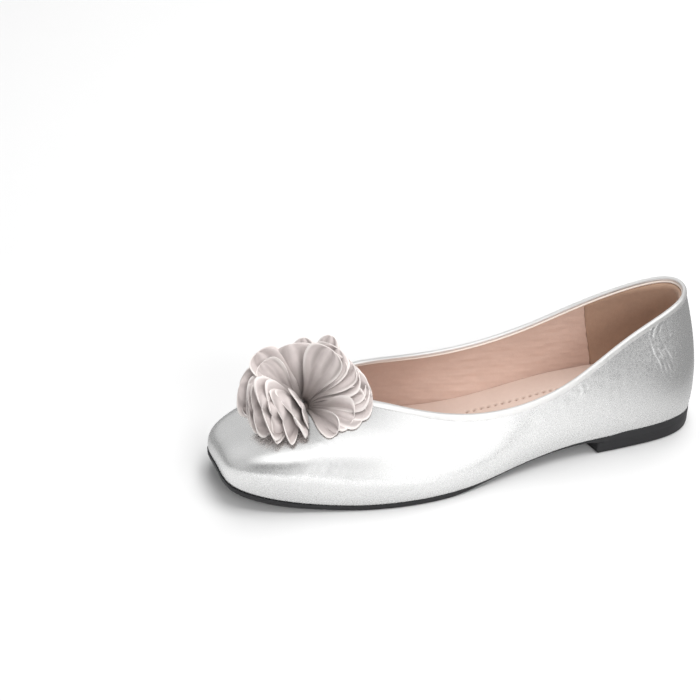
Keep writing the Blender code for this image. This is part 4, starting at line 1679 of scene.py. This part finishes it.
@dataclass
class Studio:
    """Pale floor, soft light and the camera."""

    azimuth: float = -14.0034
    elevation: float = 31.4426
    roll: float = -1.5164
    distance: float = 1.197491
    target: tuple[float, float, float] = (-0.038673, 0.055208, 0.029986)
    lens: float = 124.73
    floor_half: float = 4.0
    floor_height: float = -0.0003
    sky: float = 0.38
    ambient: float = 0.4

    def make_camera(self) -> Piece:
        """The camera: it looks back along the viewing angle at the target, rolled a little.

        Returns:
            The camera.
        """
        a, e, r = (math.radians(v) for v in (self.azimuth, self.elevation, self.roll))
        back = Vector((math.sin(a) * math.cos(e), -math.cos(a) * math.cos(e), math.sin(e)))
        level = Vector((math.cos(a), math.sin(a), 0.0))
        up = back.cross(level)
        right = level * math.cos(r) + up * math.sin(r)
        upright = up * math.cos(r) - level * math.sin(r)
        data = bpy.data.cameras.new("camera")
        data.lens, data.sensor_width, data.sensor_fit = self.lens, 36.0, "HORIZONTAL"
        data.clip_start, data.clip_end = 0.05, 50.0
        camera = bpy.data.objects.new("camera", data)
        turned = Matrix((right, upright, back)).transposed().to_4x4()
        camera.matrix_world = Matrix.Translation(Vector(self.target) + back * self.distance) @ turned
        bpy.context.scene.collection.objects.link(camera)
        bpy.context.scene.camera = camera
        return camera

    def make_floor(self) -> Piece:
        """The floor: a level grid just below the shoe.

        Returns:
            The floor.
        """
        cells = 40
        line = np.linspace(-self.floor_half, self.floor_half, cells + 1)
        x, y = np.meshgrid(line, line, indexing="ij")
        points = np.stack([x, y, np.full_like(x, self.floor_height)], axis=-1).reshape(-1, 3)
        i = np.arange(cells)[:, None] * (cells + 1) + np.arange(cells)[None, :]
        quads = np.stack([i, i + cells + 1, i + cells + 2, i + 1], axis=-1).reshape(-1, 4)
        mesh = bpy.data.meshes.new("studio_floor")
        mesh.from_pydata(points, [], quads)
        mesh.materials.append(FLOOR.material())
        floor = bpy.data.objects.new("studio_floor", mesh)
        bpy.context.scene.collection.objects.link(floor)
        return floor

    def make_lamps(self) -> None:
        """The soft lights, each turned to its aim."""
        for lamp in LAMPS:
            data = bpy.data.lights.new(lamp.name, "AREA")
            data.shape, data.size, data.size_y, data.energy = "RECTANGLE", *lamp.size, lamp.power
            light = bpy.data.objects.new(lamp.name, data)
            light.location = lamp.place
            light.visible_glossy = False
            way = Vector(lamp.aim) - Vector(lamp.place)
            light.rotation_euler = way.to_track_quat("-Z", "Y").to_euler()
            bpy.context.scene.collection.objects.link(light)

    def make_sky(self) -> None:
        """The room round the floor: an even grey with soft bright panels in it."""
        world = bpy.data.worlds.new("studio")
        world.use_nodes = True
        world.node_tree.nodes.clear()
        graph = Graph(world.node_tree)
        way = graph.add("ShaderNodeTexCoord").outputs["Generated"]
        light: Any = self.sky
        for panel in PANELS:
            a, e = math.radians(panel.azimuth), math.radians(panel.elevation)
            to_panel = (math.cos(e) * math.cos(a), math.cos(e) * math.sin(a), math.sin(e))
            near = graph.vector("DOT_PRODUCT", way, to_panel).outputs["Value"]
            edges = math.cos(math.radians(panel.gone)), math.cos(math.radians(panel.full))
            light = graph.math("ADD", light, graph.spread(near, *edges, 0.0, panel.light))
        diffuse = graph.add("ShaderNodeLightPath").outputs["Is Diffuse Ray"]
        light = graph.math("MULTIPLY", light, graph.spread(diffuse, 0.0, 1.0, 1.0, self.ambient))
        back = graph.add("ShaderNodeBackground", {"Strength": light, "Color": (1.0, 1.0, 1.0, 1.0)})
        graph.add("ShaderNodeOutputWorld", {"Surface": back.outputs[0]})
        bpy.context.scene.world = world

    def build(self) -> None:
        """Floor, lights, room and camera."""
        self.make_camera()
        self.make_floor()
        self.make_lamps()
        self.make_sky()
        bpy.context.scene.view_settings.view_transform = "Standard"


FLOOR = FloorFinish("studio_floor", (0.79, 0.79, 0.79), (0.78, 0.78, 0.78), 0.8, 0.9, patch=1.5)


def main() -> None:
    """Build the studio and the shoe's sub-assemblies in order."""
    logging.basicConfig(level=logging.INFO, format="%(name)s: %(message)s")
    Studio().build()
    pieces: list[Piece] = []
    for part in (Upper(), Sole(), Flower()):
        pieces += part.build()
    log.info("%d pieces", len(pieces))
    bpy.context.view_layer.update()


if __name__ == "__main__":
    main()
